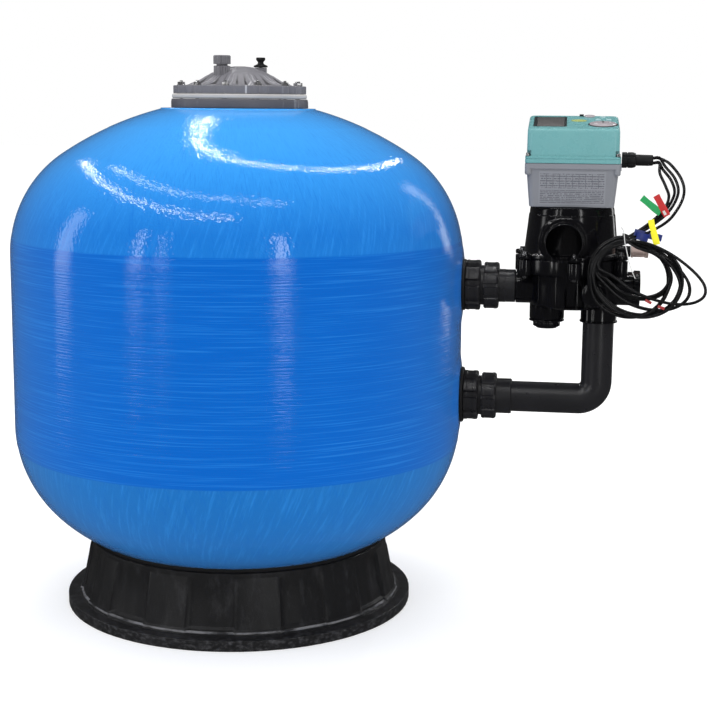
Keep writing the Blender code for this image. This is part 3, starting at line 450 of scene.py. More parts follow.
# Key, name, colour, roughness and settings of each moulded plastic
PLASTICS = [
    ("seal", "seal_pale", (0.46, 0.45, 0.44), 0.6, dict(grain=380, bump=0.3, vary=0.25)),
    ("pipe", "pipe_black", (0.0105, 0.0103, 0.0125), 0.31, dict(grain=260, bump=0.08, level=0.85)),
    ("valve", "valve_black", (0.0026, 0.0025, 0.0034), 0.13, dict(grain=150, bump=0.06, level=0.5)),
    ("rubber", "rubber_black", (0.009, 0.009, 0.01), 0.42, dict(grain=700, bump=0.2, level=0.4)),
    ("case", "case_grey", (0.2, 0.208, 0.232), 0.34, dict(grain=600, bump=0.12, vary=0.07)),
    ("cover", "cover_teal", (0.13, 0.325, 0.335), 0.28, dict(grain=620, bump=0.1, vary=0.06)),
    ("bezel", "bezel_dark", (0.02, 0.024, 0.026), 0.3, dict(grain=500, bump=0.08)),
    ("screen", "screen_grey", (0.135, 0.13, 0.13), 0.12, dict(grain=90, bump=0.02, vary=0.3, coat=0.6)),
    ("dial", "dial_silver", (0.33, 0.3, 0.32), 0.28, dict(grain=800, bump=0.15, vary=0.2)),
    ("key", "key_pale", (0.3, 0.46, 0.48), 0.35, dict(grain=800, bump=0.12, vary=0.1)),
    ("badge", "badge_olive", (0.33, 0.38, 0.12), 0.3, dict(grain=700, bump=0.1, vary=0.25)),
    ("red_print", "label_red", (0.3, 0.02, 0.022), 0.45, dict(grain=900, bump=0.1)),
    ("gear", "gear_nylon", (0.7, 0.68, 0.6), 0.45, dict(grain=600, bump=0.15, vary=0.08)),
    ("cable", "cable_black", (0.006, 0.006, 0.0065), 0.2, dict(grain=300, bump=0.08, level=0.5)),
    ("green", "tag_green", (0.01, 0.33, 0.09), 0.45, dict(grain=900, bump=0.1, vary=0.2)),
    ("red", "tag_red", (0.52, 0.012, 0.014), 0.4, dict(grain=900, bump=0.1, vary=0.2)),
    ("yellow", "tag_yellow", (0.82, 0.76, 0.01), 0.45, dict(grain=900, bump=0.1, vary=0.12)),
    ("blue", "tape_blue", (0.01, 0.022, 0.15), 0.3, dict(grain=600, bump=0.2, vary=0.25)),
    ("string", "string_white", (0.56, 0.56, 0.55), 0.6, dict(grain=1500, bump=0.4, vary=0.1)),
]
MATERIALS = {row[0]: plastic(*row[1:4], **row[4]).material for row in PLASTICS}
MATERIALS.update({
    "vessel": vessel_material(),
    "stand": stand_material(),
    "lid": lid_material("lid_grey", (0.15, 0.148, 0.165), 0.35, spokes=0.75),
    "neck": lid_material("neck_grey", (0.095, 0.094, 0.108), 0.6),
    "steel": steel_material("bolt_steel", (0.62, 0.62, 0.63), 0.28),
    "spring": steel_material("spring_steel", (0.5, 0.5, 0.52), 0.32),
    "screw": steel_material("screw_dark", (0.42, 0.42, 0.44), 0.2),
    "label": label_material(),
})
glass = Graph("sight_clear", (0.52, 0.4, 0.36), 0.12, IOR=1.48)
glass.shader.inputs["Transmission Weight"].default_value = 0.55
glass.link(glass.blend(glass.noise((30, 90, 90), 3), (0.4, 0.29, 0.26), (0.66, 0.54, 0.5)), "Base Color")
glass.bump(glass.noise(300, 2), 0.1, 0.0003)
MATERIALS["clear"] = glass.material
SLOTS = {
    "lid": "lid neck", "seal": "seal", "pipe": "pipe valve", "steel": "steel screw", "case": "case label",
    "cover": "cover", "rubber": "rubber", "window": "bezel screen dial badge", "key": "key",
    "clear": "clear", "cable": "green red yellow blue red_print string cable", "vessel": "vessel",
    "stand": "stand",
}
SLOT_OF = {material: slot for slot, materials in SLOTS.items() for material in materials.split()}


# ---- mesh helpers
def add_object(name, data):
    made = bpy.data.objects.new(name, data)
    bpy.context.scene.collection.objects.link(made)
    return made


def loose(bm, name):
    """An object with the bmesh's faces, in the row frame."""
    bmesh.ops.recalc_face_normals(bm, faces=bm.faces)
    mesh = bpy.data.meshes.new(name)
    bm.to_mesh(mesh)
    bm.free()
    mesh.shade_smooth()
    return add_object(name, mesh)


def join_model(made, material, body="filter", nodes=(), slot=None):
    """Makes an object a piece of the visual model, which stands for the CAD nodes it names."""
    made.data.materials.append(MATERIALS[material])
    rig.ride(made, body)
    if nodes:
        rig.replaces(made, *([nodes] if isinstance(nodes, str) else nodes))
    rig.slot(made, slot or SLOT_OF[material])
    return made


def finish(name, bm, material, body="filter", nodes=(), slot=None, sharp=34):
    made = loose(bm, name)
    made.data.set_sharp_from_angle(angle=math.radians(sharp))
    return join_model(made, material, body, nodes, slot)


def skin(bm, rows, closed=False, caps=True):
    """Quads between rows of as many points, which close at their ends with caps or on themselves."""
    for lower, upper in list(zip(rows, rows[1:])) + ([(rows[-1], rows[0])] if closed else []):
        for i in range(len(lower)):
            j = (i + 1) % len(lower)
            bm.faces.new((lower[i], lower[j], upper[j], upper[i]))
    if caps and not closed:
        bm.faces.new(list(reversed(rows[0])))
        bm.faces.new(rows[-1])


def place(origin, axis=(0, 0, 1)):
    """A frame whose local Z points along axis."""
    turn = Vector((0, 0, 1)).rotation_difference(Vector(axis)).to_matrix().to_4x4()
    return Matrix.Translation(world(*origin)) @ turn


TO_X = (1, 0, 0)
TO_FRONT = (0, -1, 0)


def rounded(outline, radius, steps=3, closed=False):
    """The outline with each real corner turned into a small arc."""
    points = [Vector(p) for p in outline]
    count = len(points)
    result = []
    for i, corner in enumerate(points):
        if not closed and i in (0, count - 1):
            result.append(corner)
            continue
        before, after = points[i - 1], points[(i + 1) % count]
        back, ahead = before - corner, after - corner
        bend = math.pi - back.angle(ahead, math.pi)
        if bend < math.radians(14) or min(back.length, ahead.length) < 1e-5:
            result.append(corner)
            continue
        reach = min(radius * math.tan(bend / 2), back.length * 0.45, ahead.length * 0.45)
        start, end = corner + back.normalized() * reach, corner + ahead.normalized() * reach
        for step in range(steps + 1):
            t = step / steps
            result.append(start * (1 - t) ** 2 + corner * 2 * t * (1 - t) + end * t * t)
    return [tuple(p) for p in result]


def lathe(bm, outline, sides, frame_matrix, shape=None, closed=False):
    """A turned surface; a point at radius 0 is one vertex, and shape moves (radius, height) by angle."""
    rows = []
    for radius, height in outline:
        if radius < 1e-7:
            rows.append([bm.verts.new(frame_matrix @ Vector((0, 0, height)))])
            continue
        row = []
        for i in range(sides):
            angle = 2 * math.pi * i / sides
            r, h = shape(angle, radius, height) if shape else (radius, height)
            row.append(bm.verts.new(frame_matrix @ Vector((r * math.cos(angle), r * math.sin(angle), h))))
        rows.append(row)
    for lower, upper in list(zip(rows, rows[1:])) + ([(rows[-1], rows[0])] if closed else []):
        if len(lower) == len(upper) == 1:
            continue
        for i in range(sides):
            j = (i + 1) % sides
            if len(lower) == 1:
                bm.faces.new((lower[0], upper[j], upper[i]))
            elif len(upper) == 1:
                bm.faces.new((lower[i], lower[j], upper[0]))
            else:
                bm.faces.new((lower[i], lower[j], upper[j], upper[i]))


def add_turned(bm, outline, radius, sides, matrix, shape=None, closed=False, steps=3):
    """Adds a turned surface whose corners are rounded by radius."""
    lathe(bm, rounded(outline, radius, steps, closed), sides, matrix, shape, closed)


def turned(name, outline, material, origin=(0, 0, 0), axis=(0, 0, 1), sides=64, radius=0.0008, closed=False,
        shape=None, body="filter", nodes=(), slot=None):
    bm = bmesh.new()
    add_turned(bm, outline, radius, sides, place(origin, axis), shape, closed)
    return finish(name, bm, material, body, nodes, slot)


def smooth_step(value, low, high):
    t = min(1, max(0, (value - low) / (high - low)))
    return t * t * (3 - 2 * t)


def between(value, outer_low, inner_low, inner_high, outer_high):
    """1 between the inner limits, and 0 beyond the outer ones, with smooth flanks."""
    return smooth_step(value, outer_low, inner_low) * (1 - smooth_step(value, inner_high, outer_high))


def box_loop(half_x, half_y, corner, steps=6):
    """Rounded rectangle as a list of (x, y), counter-clockwise."""
    points = []
    for quarter, (sign_x, sign_y) in enumerate(((1, 1), (-1, 1), (-1, -1), (1, -1))):
        for step in range(steps + 1):
            angle = math.pi / 2 * (quarter + step / steps)
            points.append((sign_x * (half_x - corner) + corner * math.cos(angle),
                sign_y * (half_y - corner) + corner * math.sin(angle)))
    return points


def box_sections(sizes):
    """Level sections for a loft, each from two half-sizes, a corner radius and a height."""
    return [(box_loop(half_x, half_y, corner), height) for half_x, half_y, corner, height in sizes]


def loft(bm, sections, frame_matrix):
    """Skin through loops of equal count, each (points, height function or number)."""
    rows = []
    for points, height in sections:
        row = []
        for x, y in points:
            z = height(x, y) if callable(height) else height
            row.append(bm.verts.new(frame_matrix @ Vector((x, y, z))))
        rows.append(row)
    skin(bm, rows)


def soft_block(bm, half_x, half_y, low, high, corner, edge, frame_matrix, steps=4):
    """Rounded block whose top edge is rolled over by edge."""
    sections = [(box_loop(half_x, half_y, corner), low)]
    for step in range(steps + 1):
        angle = math.pi / 2 * step / steps
        inset = edge * (1 - math.cos(angle))
        loop = box_loop(half_x - inset, half_y - inset, max(corner - inset, 0.0003))
        sections.append((loop, high - edge + edge * math.sin(angle)))
    loft(bm, sections, frame_matrix)


def cut(target, tool_mesh):
    """Boolean difference, applied at once."""
    tool = loose(tool_mesh, "tool")
    modifier = target.modifiers.new("cut", "BOOLEAN")
    modifier.operation = "DIFFERENCE"
    modifier.solver = "EXACT"
    modifier.object = tool
    bpy.context.view_layer.update()
    evaluated = target.evaluated_get(bpy.context.evaluated_depsgraph_get())
    mesh = bpy.data.meshes.new_from_object(evaluated)
    target.modifiers.remove(modifier)
    target.data = mesh
    mesh.set_sharp_from_angle(angle=math.radians(34))
    bpy.data.objects.remove(tool)


def sweep(bm, centres, radius, sides):
    """Round tube along points."""
    side = Vector((0, 1, 0))
    rows = []
    for behind, centre, ahead in zip(centres[:1] + centres, centres, centres[1:] + centres[-1:]):
        tangent = (ahead - behind).normalized()
        side = (side - tangent * side.dot(tangent)).normalized()
        up = tangent.cross(side)
        rows.append([bm.verts.new(centre + side * radius * math.cos(a) + up * radius * math.sin(a))
            for a in (2 * math.pi * k / sides for k in range(sides))])
    skin(bm, rows)


def route(points, steps):
    """Catmull-Rom curve through the points."""
    ends = [points[0] * 2 - points[1], *points, points[-1] * 2 - points[-2]]
    result = []
    for before, start, end, after in zip(ends, ends[1:], ends[2:], ends[3:]):
        for i in range(steps):
            t = i / steps
            result.append(0.5 * (2 * start + (end - before) * t
                + (2 * before - 5 * start + 4 * end - after) * t * t
                + (3 * start - before - 3 * end + after) * t ** 3))
    result.append(points[-1])
    return result


def circle_of(count, radius, start):
    """Evenly spaced (x, y), the first at start from -Y towards +X."""
    return [(radius * math.sin(start + 2 * math.pi * i / count),
        -radius * math.cos(start + 2 * math.pi * i / count)) for i in range(count)]


# ---- camera
CAMERA_AT = (0.6639, -3.017, 1.034)
CAMERA_AIM = Vector((-0.13726, 0.97669, -0.16505))
CAMERA_ROLL = math.radians(0.5)
camera = add_object("camera", bpy.data.cameras.new("camera"))
camera.data.lens = 76.38
camera.data.sensor_width = 36
camera.data.clip_start, camera.data.clip_end = 0.05, 200
camera.location = world(*CAMERA_AT)
camera.rotation_mode = "QUATERNION"
camera.rotation_quaternion = CAMERA_AIM.to_track_quat("-Z", "Y") @ Quaternion((0, 0, 1), CAMERA_ROLL)
bpy.context.scene.camera = camera

# ---- cables
CABLE_LENGTH = 1.6
CABLE_STARTS = [(0.005, 0.004), (-0.005, 0.005), (0.0045, -0.0055), (-0.005, -0.0045)]
CABLE_ROUTES = [
    [(0.862, -0.006, 0.921), (0.884, -0.019, 0.893), (0.889, -0.04, 0.865), (0.874, -0.071, 0.834),
     (0.846, -0.1, 0.808)],
    [(0.853, -0.009, 0.916), (0.872, -0.021, 0.893), (0.878, -0.04, 0.866), (0.862, -0.067, 0.835),
     (0.833, -0.094, 0.811)],
    [(0.849, -0.003, 0.91), (0.866, -0.015, 0.888), (0.871, -0.035, 0.863), (0.853, -0.059, 0.832),
     (0.824, -0.087, 0.808)],
    [(0.843, -0.013, 0.903), (0.854, -0.027, 0.879), (0.86, -0.047, 0.858), (0.848, -0.07, 0.833),
     (0.817, -0.099, 0.807)],
]
# Each loop of the hank: middle (x, z), half-axes and lean; on the guide the bundled leads run together.
LOOPS = {
    "far": ((0.832, 0.72), (0.106, 0.05), -22),
    "wide": ((0.816, 0.711), (0.092, 0.058), -22),
    "main": ((0.8, 0.705), (0.0865, 0.07), -20),
    "inner": ((0.801, 0.719), (0.069, 0.051), -20),
    "low": ((0.788, 0.6985), (0.078, 0.07), -15),
}
GUIDE = ((0.797, 0.7105), (0.083, 0.0745), -20)
GUIDE_ANGLE = math.radians(138)
HANK_START, HANK_TURNS, TURN_STEPS = math.radians(104), 4, 14
HANK_FRONT, HANK_Y, HANK_BACK = -0.1375, -0.1165, -0.0955
CABLE_LOOPS = [("far", "main", "low"), ("main", "wide", "inner"), ("wide", "low", "main"),
    ("main", "inner", "low")]


def loop_point(loop, angle, grow):
    """Point on a loop in the direction of angle, as (x, z)."""
    (x, z), (half_a, half_b), lean = loop
    turn = math.radians(lean)
    local = angle - turn
    a, b = (half_a + grow) * math.cos(local), (half_b + grow) * math.sin(local)
    return Vector((x + a * math.cos(turn) - b * math.sin(turn), z + a * math.sin(turn) + b * math.cos(turn)))


def cable_path(number, draw):
    """A lead from the sleeve, down its free stretch and round the hank, cut to its length."""
    dy, dz = CABLE_STARTS[number]
    points = [Vector((SLEEVE_END + 0.0004, dy, ENTRY_Z + dz)),
        Vector((SLEEVE_END + 0.012, dy, ENTRY_Z + dz))]
    points += [Vector(p) for p in CABLE_ROUTES[number]]
    lane = (number - 1.5) * 0.0052
    phase = draw.uniform(0, 6.28)
    for turn in range(HANK_TURNS):
        names = CABLE_LOOPS[number]
        here, after = LOOPS[names[turn % 3]], LOOPS[names[(turn + 1) % 3]]
        for step in range(TURN_STEPS):
            share = step / TURN_STEPS
            angle = HANK_START + 2 * math.pi * share
            change = smooth_step(share, 0.65, 1)
            grow = 0.002 * math.sin(phase + turn * 2.1 + share * 5) - 0.002 * turn
            spot = loop_point(here, angle, grow).lerp(loop_point(after, angle, grow), change)
            gather = smooth_step(math.cos(angle - GUIDE_ANGLE), 0.5, 0.9) * 0.85
            aside = 0.0046 * (turn - 1.5) + 0.0024 * (number - 1.5)
            spot = spot.lerp(loop_point(GUIDE, angle, aside), gather)
            depth = HANK_Y + lane + 0.0036 * math.sin(phase + 1.7 * turn + 2.3 * share)
            depth += 0.0048 * ((turn + number) % 2 - 0.5) * gather
            points.append(Vector((spot.x, max(HANK_FRONT, min(HANK_BACK, depth)), spot.y)))
    fine = route([world(*p) for p in points], 8)
    kept, length = [fine[0]], 0
    for point in fine[1:]:
        step = (point - kept[-1]).length
        if length + step > CABLE_LENGTH:
            kept.append(kept[-1].lerp(point, (CABLE_LENGTH - length) / step))
            break
        kept.append(point)
        length += step
    return kept


draw = random.Random(11)
CABLES = []
for number in range(4):
    path = cable_path(number, draw)
    curve = bpy.data.curves.new(f"lead_{number + 1}", "CURVE")
    curve.dimensions = "3D"
    curve.bevel_depth = CABLE_R
    curve.bevel_resolution = 3
    curve.use_fill_caps = True
    spline = curve.splines.new("POLY")
    spline.points.add(len(path) - 1)
    for slot_point, point in zip(spline.points, path):
        slot_point.co = (*point, 1)
    nodes = [f"control_cable_{number + 1}"] + (["cable_hank"] if number == 0 else [])
    CABLES.append((join_model(add_object(curve.name, curve), "cable", nodes=nodes), path))


def strip_tag(name, material, start, end, width, bend, face=(0, -1, 0.1)):
    """Flag of folded tape: a thin strip from start to end that bends out of its plane."""
    start, end = world(*start), world(*end)
    along = end - start
    across = along.cross(Vector(face)).normalized() * width / 2
    normal = along.cross(across).normalized()
    bm = bmesh.new()
    rows = []
    count = 10
    for i in range(count + 1):
        t = i / count
        middle = start + along * t + normal * (bend * math.sin(math.pi * t))
        twist = across * (1 - 0.06 * math.sin(2 * math.pi * t))
        rows.append([bm.verts.new(middle + twist * s + normal * h) for s, h in
            ((-1, -0.0003), (0, -0.00045), (1, -0.0003), (1, 0.0003), (0, 0.00045), (-1, 0.0003))])
    skin(bm, rows)
    return finish(name, bm, material, sharp=50)


def string_piece(name, points, radius):
    bm = bmesh.new()
    sweep(bm, route([world(*p) for p in points], 8), radius, 10)
    return finish(name, bm, "string")


TAGS = [
    strip_tag("tag_green", "green", (0.8063, -0.098, 0.8595), (0.843, -0.086, 0.83), 0.013, 0.0012),
    strip_tag("tag_red", "red", (0.8334, -0.092, 0.864), (0.856, -0.086, 0.825), 0.013, 0.0015),
    strip_tag("tag_mark", "string", (0.848, -0.0935, 0.835), (0.8525, -0.0925, 0.8275), 0.0048, 0.0003),
    strip_tag("tag_yellow", "yellow", (0.824, -0.112, 0.819), (0.837, -0.118, 0.7725), 0.012, 0.003,
              (0.1, -1, 0)),
    strip_tag("tape_blue", "blue", (0.794, -0.116, 0.7955), (0.846, -0.112, 0.784), 0.0125, 0.001),
    strip_tag("tape_blue_fold", "blue", (0.7985, -0.124, 0.79), (0.82, -0.122, 0.7835), 0.015, 0.002),
    strip_tag("wire_label_1", "red_print", (0.8185, -0.137, 0.668), (0.83, -0.137, 0.6625), 0.0052, 0.0008),
    strip_tag("wire_label_2", "red_print", (0.8425, -0.137, 0.657), (0.855, -0.137, 0.6525), 0.0052, 0.0008),
    string_piece("tie_loop", [(0.77, -0.1, 0.802), (0.7728, -0.133, 0.7985), (0.7745, -0.144, 0.788),
                              (0.7761, -0.145, 0.7767), (0.7804, -0.145, 0.7598), (0.7849, -0.145, 0.7409),
                              (0.7901, -0.145, 0.7259), (0.7975, -0.144, 0.71)], 0.0008),
]
for number, (lead, path) in enumerate(CABLES):
    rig.cord(lead, exit=tuple(path[0]), length=CABLE_LENGTH, diameter=2 * CABLE_R, far_end="bare",
        stiffness="medium", lay="hanging", with_pieces=TAGS if number == 0 else [])

# ---- vessel
def arc_points(centre, radius, start, end, steps):
    """Points along an arc, from one angle to the other."""
    return [(centre[0] + radius * math.cos(start + (end - start) * i / steps),
        centre[1] + radius * math.sin(start + (end - start) * i / steps)) for i in range(steps + 1)]


def dome(sign, start_z, knuckle, crown_r, end_r, inset, steps):
    """Knuckle and crown of one end, from the wall towards the axis, as (radius, height)."""
    knuckle_r, sweep_angle = knuckle
    centre_r = VESSEL_R - knuckle_r
    crown = (centre_r - (crown_r - knuckle_r) * math.cos(sweep_angle),
        (knuckle_r - crown_r) * math.sin(sweep_angle))
    last = math.acos((end_r - crown[0]) / (crown_r - inset))
    points = arc_points((centre_r, 0), knuckle_r - inset, 0, sweep_angle, steps)
    points += arc_points(crown, crown_r - inset, sweep_angle, last, steps)[1:]
    return [(radius, start_z + sign * height) for radius, height in points]


LOW_END_R = VESSEL_R - LOW_KNUCKLE[0] - (LOW_CROWN_R - LOW_KNUCKLE[0]) * math.cos(LOW_KNUCKLE[1]) + 0.001
WINDING_STEP = 0.0056
WINDING_DEPTH = 0.00024
COAT_STEP = 0.0007
PORT_SPOT_R = (0.058, 0.088)


def build_vessel():
    low = dome(-1, HOOP_LOW, LOW_KNUCKLE, LOW_CROWN_R, LOW_END_R, 0, 26)
    high = dome(1, HOOP_HIGH, TOP_KNUCKLE, TOP_CROWN_R, SEAT_R, 0, 34)
    wall_rows = int((HOOP_HIGH - HOOP_LOW) / (WINDING_STEP / 4))
    wall = [(VESSEL_R, HOOP_LOW + (HOOP_HIGH - HOOP_LOW) * i / wall_rows) for i in range(1, wall_rows)]
    outline = [(0, low[-1][1])] + list(reversed(low)) + wall + high
    outline += [(SEAT_R - 0.001, SEAT_Z), (MOUTH_R, SEAT_Z), (MOUTH_R, SEAT_Z - 0.012)]
    outline += list(reversed(dome(1, HOOP_HIGH, TOP_KNUCKLE, TOP_CROWN_R, MOUTH_R + 0.02, 0.01, 6)))
    outline += dome(-1, HOOP_LOW, LOW_KNUCKLE, LOW_CROWN_R, LOW_END_R, 0.01, 6)
    outline += [(0, low[-1][1] + 0.01)]
    draw = random.Random(5)
    waves = [(draw.uniform(0.7, 1.3), draw.uniform(0, 6.3), draw.randint(2, 5)) for _ in range(6)]

    def wound(angle, radius, height):
        if radius < VESSEL_R - 0.2 or height > 1:
            return radius, height
        edge = 0.0006 * math.sin(3 * angle) + 0.0004 * math.sin(7 * angle + 1)
        band = between(height - edge, WOUND_LOW - 0.0016, WOUND_LOW, WOUND_HIGH, WOUND_HIGH + 0.0016)
        swell = sum(size * math.sin(count * angle + 34 * height + phase) for size, phase, count in waves) / 6
        groove = 0.5 - 0.5 * math.sin(2 * math.pi * (height / WINDING_STEP) + angle + 1.3 * swell)
        wound_in = band * WINDING_DEPTH * groove * (0.65 + 0.35 * swell)
        return radius - (COAT_STEP * (1 - band) + wound_in + 0.00025 * (1 + swell)), height

    bm = bmesh.new()
    lathe(bm, outline, 216, place((0, 0, 0)), wound)
    inner, outer = PORT_SPOT_R
    for vert in bm.verts:
        x = vert.co.x - AXIS_X
        if x < 0.43:
            continue
        for height in (PORT_LOW, PORT_HIGH):
            away = math.hypot(vert.co.y, vert.co.z - height)
            if away < outer and math.hypot(x, vert.co.y) > VESSEL_R - 0.006:
                lift = 1 - smooth_step(away, inner, outer)
                vert.co.x = AXIS_X + x + (0.4622 - x) * lift
    vessel = finish("vessel_wound", bm, "vessel", nodes="tank_shell", sharp=50)
    vessel.visible_glossy = False
    return vessel


build_vessel()

# ---- stand
PANEL_PAIRS = 11
PANEL_PHASE = 0.82
PANEL_STEP = 0.006
LIP_RISE = 0.0045


def build_stand():
    """Ring skirt whose wall alternates between raised and recessed panels, each with a lip at its foot."""
    outline = rounded([(FOOT_R, 0.0005), (FOOT_R, FOOT_H - 0.0005), (0.3385, FOOT_H + 0.0002),
        (0.335, 0.0232), (0.3345, 0.028), (0.3298, 0.033), (0.3215, 0.074), (0.3132, 0.117),
        (0.3085, 0.129), (0.308, 0.138), (0.296, 0.1415), (0.296, 0.08), (0.306, 0.05), (0.318, 0.018),
        (0.346, 0.01), (0.346, 0.0005)], 0.0016, 3, closed=True)
    half = math.pi / PANEL_PAIRS
    phase = 2 * half * PANEL_PHASE - half

    def panels(angle, radius, height):
        rough = (math.sin(31 * angle + 90 * height) + math.sin(53 * angle - 140 * height + 1)) * 0.00025
        if radius < 0.3078 or height < FOOT_H or (radius < 0.33 and height < 0.02):
            return radius - abs(rough), height
        local = ((angle - phase) % (2 * half)) / half
        raised = between(local, 0.475, 0.525, 1.475, 1.525)
        fade = between(height, FOOT_H, 0.0235, 0.121, 0.1275)
        edge = smooth_step(abs(((local + 0.5) % 1) - 0.5), 0.425, 0.47)
        lift = LIP_RISE * (1 - raised) * between(height, FOOT_H, 0.0235, 0.03, 0.06)
        return radius - fade * (PANEL_STEP * (1 - raised) - 0.001 * edge * raised) + rough, height + lift

    bm = bmesh.new()
    lathe(bm, outline, PANEL_PAIRS * 40, place((0, 0, 0)), panels, closed=True)
    return finish("stand_skirt", bm, "stand", nodes="base_stand", sharp=40)


build_stand()
turned("stand_cushion", [(0.2925, 0.1402), (0.304, 0.1396), (0.304, 0.1476), (0.2925, 0.1421)], "rubber",
    (0, 0, 0), sides=144, radius=0.0005, closed=True, slot="stand")

# ---- closure
LID_BOLT_R = 0.1215


def build_lid():
    outline = rounded([(0, 1.1038), (0.012, 1.1036), (0.028, 1.1018), (0.057, 1.0903), (0.086, 1.073),
        (0.104, 1.0672), (0.111, 1.065), (0.1345, 1.065), (0.1345, 1.0492), (0.11, 1.0492), (0.11, 1.058),
        (0.083, 1.066), (0.054, 1.083), (0.026, 1.094), (0, 1.096)], 0.002, 3)
    dense = []
    for (r0, h0), (r1, h1) in zip(outline, outline[1:]):
        on_top = h0 > 1.0635 and r0 < 0.112 and h0 > h1
        count = max(1, int(math.hypot(r1 - r0, h1 - h0) / 0.0022)) if on_top else 1
        dense += [(r0 + (r1 - r0) * i / count, h0 + (h1 - h0) * i / count) for i in range(count)]
    dense.append(outline[-1])

    def ribs(angle, radius, height):
        local = ((angle - LID_FIRST) / LID_PITCH) % 1
        spot = abs(local - 0.5)
        if height > 1.0635 and radius < 0.112:
            reach = between(radius, 0.06, 0.07, 0.1005, 0.1045)
            pocket = (1 - smooth_step(spot, 0.16, 0.2)) * reach
            crest = (1 - smooth_step(abs(spot - 0.4), 0.02, 0.05)) * reach
            return radius, height - 0.0065 * pocket * smooth_step(radius, 0.06, 0.1) + 0.0014 * crest
        if radius > 0.13 and height > 1.0495:
            notch = 1 - smooth_step(abs(spot - 0.5), 0.012, 0.03)
            rib = 1 - smooth_step(abs(spot - 0.22), 0.015, 0.035)
            return radius - 0.0012 - 0.0016 * notch + 0.0011 * rib, height
        return radius, height

    bm = bmesh.new()
    lathe(bm, dense, 288, place((LID_X, 0, 0)), ribs)
    finish("lid_cover", bm, "lid", nodes="tank_lid", sharp=32)


build_lid()
turned("neck_ring", [(0.0972, 1.0212), (0.1385, 1.0212), (0.1385, 1.033), (0.1372, 1.0388),
    (0.0972, 1.0388)], "neck", (LID_X, 0, 0), sides=144, radius=0.0012, closed=True, nodes="neck_flange",
    shape=lambda a, r, h: (r - (0.0006 * (0.5 + 0.5 * math.sin(5 * a + 90 * h)) if r > 0.13 else 0), h))
turned("lid_seal", [(0.0985, 1.0394), (0.1345, 1.0394), (0.1364, 1.042), (0.1364, 1.0465), (0.1345, 1.0487),
    (0.0985, 1.0487)], "seal", (LID_X, 0, 0), sides=144, radius=0.0018, closed=True, nodes="lid_gasket",
    shape=lambda a, r, h:
    (r - (0.0007 * (0.5 + 0.5 * math.sin(9 * a) * math.sin(4 * a + 1)) if r > 0.13 else 0), h))


def hexagon(bm, radius, low, high, matrix, chamfer=0.0008):
    """Hexagonal nut with broken edges."""
    rows = []
    for r, z in ((radius - chamfer, low), (radius, low + chamfer * 0.6), (radius, high - chamfer * 0.6),
            (radius - chamfer, high)):
        corners = [(r * math.cos(math.pi / 3 * k), r * math.sin(math.pi / 3 * k)) for k in range(6)]
        rows.append([bm.verts.new(matrix @ Vector((*corner, z))) for corner in corners])
    skin(bm, rows)


def build_lid_bolts():
    draw = random.Random(3)
    top = 1.0653
    for number, (x, y) in enumerate(circle_of(LID_BOLTS, LID_BOLT_R, LID_BOLT_START), 1):
        spin = place((LID_X + x, y, 0)) @ Matrix.Rotation(draw.uniform(0, 1), 4, "Z")
        bm = bmesh.new()
        add_turned(bm, [(0, top), (0.0086, top), (0.0086, top + 0.001), (0, top + 0.001)], 0.0004, 28, spin)
        hexagon(bm, 0.0073, top + 0.001, top + 0.0064, spin)
        thread = [(0, 1.028), (0.0029, 1.028), (0.0029, top + 0.0062)]
        for turn in range(5):
            base = top + 0.0064 + turn * 0.0006
            thread += [(0.003, base), (0.0026, base + 0.0003)]
        thread += [(0.0024, top + 0.0093), (0, top + 0.0093)]
        lathe(bm, thread, 16, spin)
        finish(f"lid_fastener_{number:02d}", bm, "steel", nodes=f"lid_bolt_{number:02d}", sharp=30)


build_lid_bolts()
VENT = (LID_X - 0.026, -0.045, 0)
RELIEF = (LID_X + 0.036, 0.035, 0)


def flutes(count, depth, radius, low, high, sharpness=1):
    """Shape with lengthwise flutes on everything beyond a radius and between two heights."""
    def shape(angle, r, h):
        if r < radius or h < low or h > high:
            return r, h
        wave = 0.5 + 0.5 * math.cos(count * angle)
        return r - depth * (1 - wave ** sharpness), h
    return shape


turned("vent_body", [(0, 1.08), (0.0168, 1.08), (0.0168, 1.1031), (0.015, 1.1039), (0.011, 1.1043),
    (0.011, 1.1125), (0, 1.1125)], "lid", VENT, sides=144, radius=0.0006, nodes="air_vent_body",
    shape=flutes(18, 0.0018, 0.016, 1.07, 1.1035, 0.6))
turned("vent_cap", [(0.0113, 1.1072), (0.0172, 1.1072), (0.0172, 1.1227), (0.0158, 1.1243), (0, 1.1245),
    (0, 1.1131), (0.0113, 1.1131)], "lid", VENT, sides=168, radius=0.0008, body="vent_cap",
    nodes="air_vent_cap", shape=flutes(24, 0.0016, 0.0165, 1.1075, 1.1233, 0.7))
turned("relief_body", [(0, 1.08), (0.0125, 1.08), (0.0125, 1.101), (0.0112, 1.1022), (0.0035, 1.1024),
    (0.0035, 1.11), (0, 1.11)], "lid", RELIEF, sides=96, radius=0.0006, nodes="relief_valve_body",
    shape=flutes(12, 0.0006, 0.012, 1.07, 1.1))
turned("relief_knob", [(0.0038, 1.1029), (0.0138, 1.1029), (0.0142, 1.104), (0.014, 1.1062), (0.01, 1.1078),
    (0.0065, 1.1098), (0.0056, 1.1122), (0.0066, 1.1146), (0.0092, 1.1176), (0.0095, 1.1192),
    (0.0094, 1.1216), (0.008, 1.1225), (0, 1.1223), (0, 1.1104), (0.0038, 1.1104)], "rubber", RELIEF,
    sides=96, radius=0.0008, body="relief_knob", nodes="relief_valve_knob",
    shape=flutes(16, 0.0005, 0.009, 1.118, 1.122))

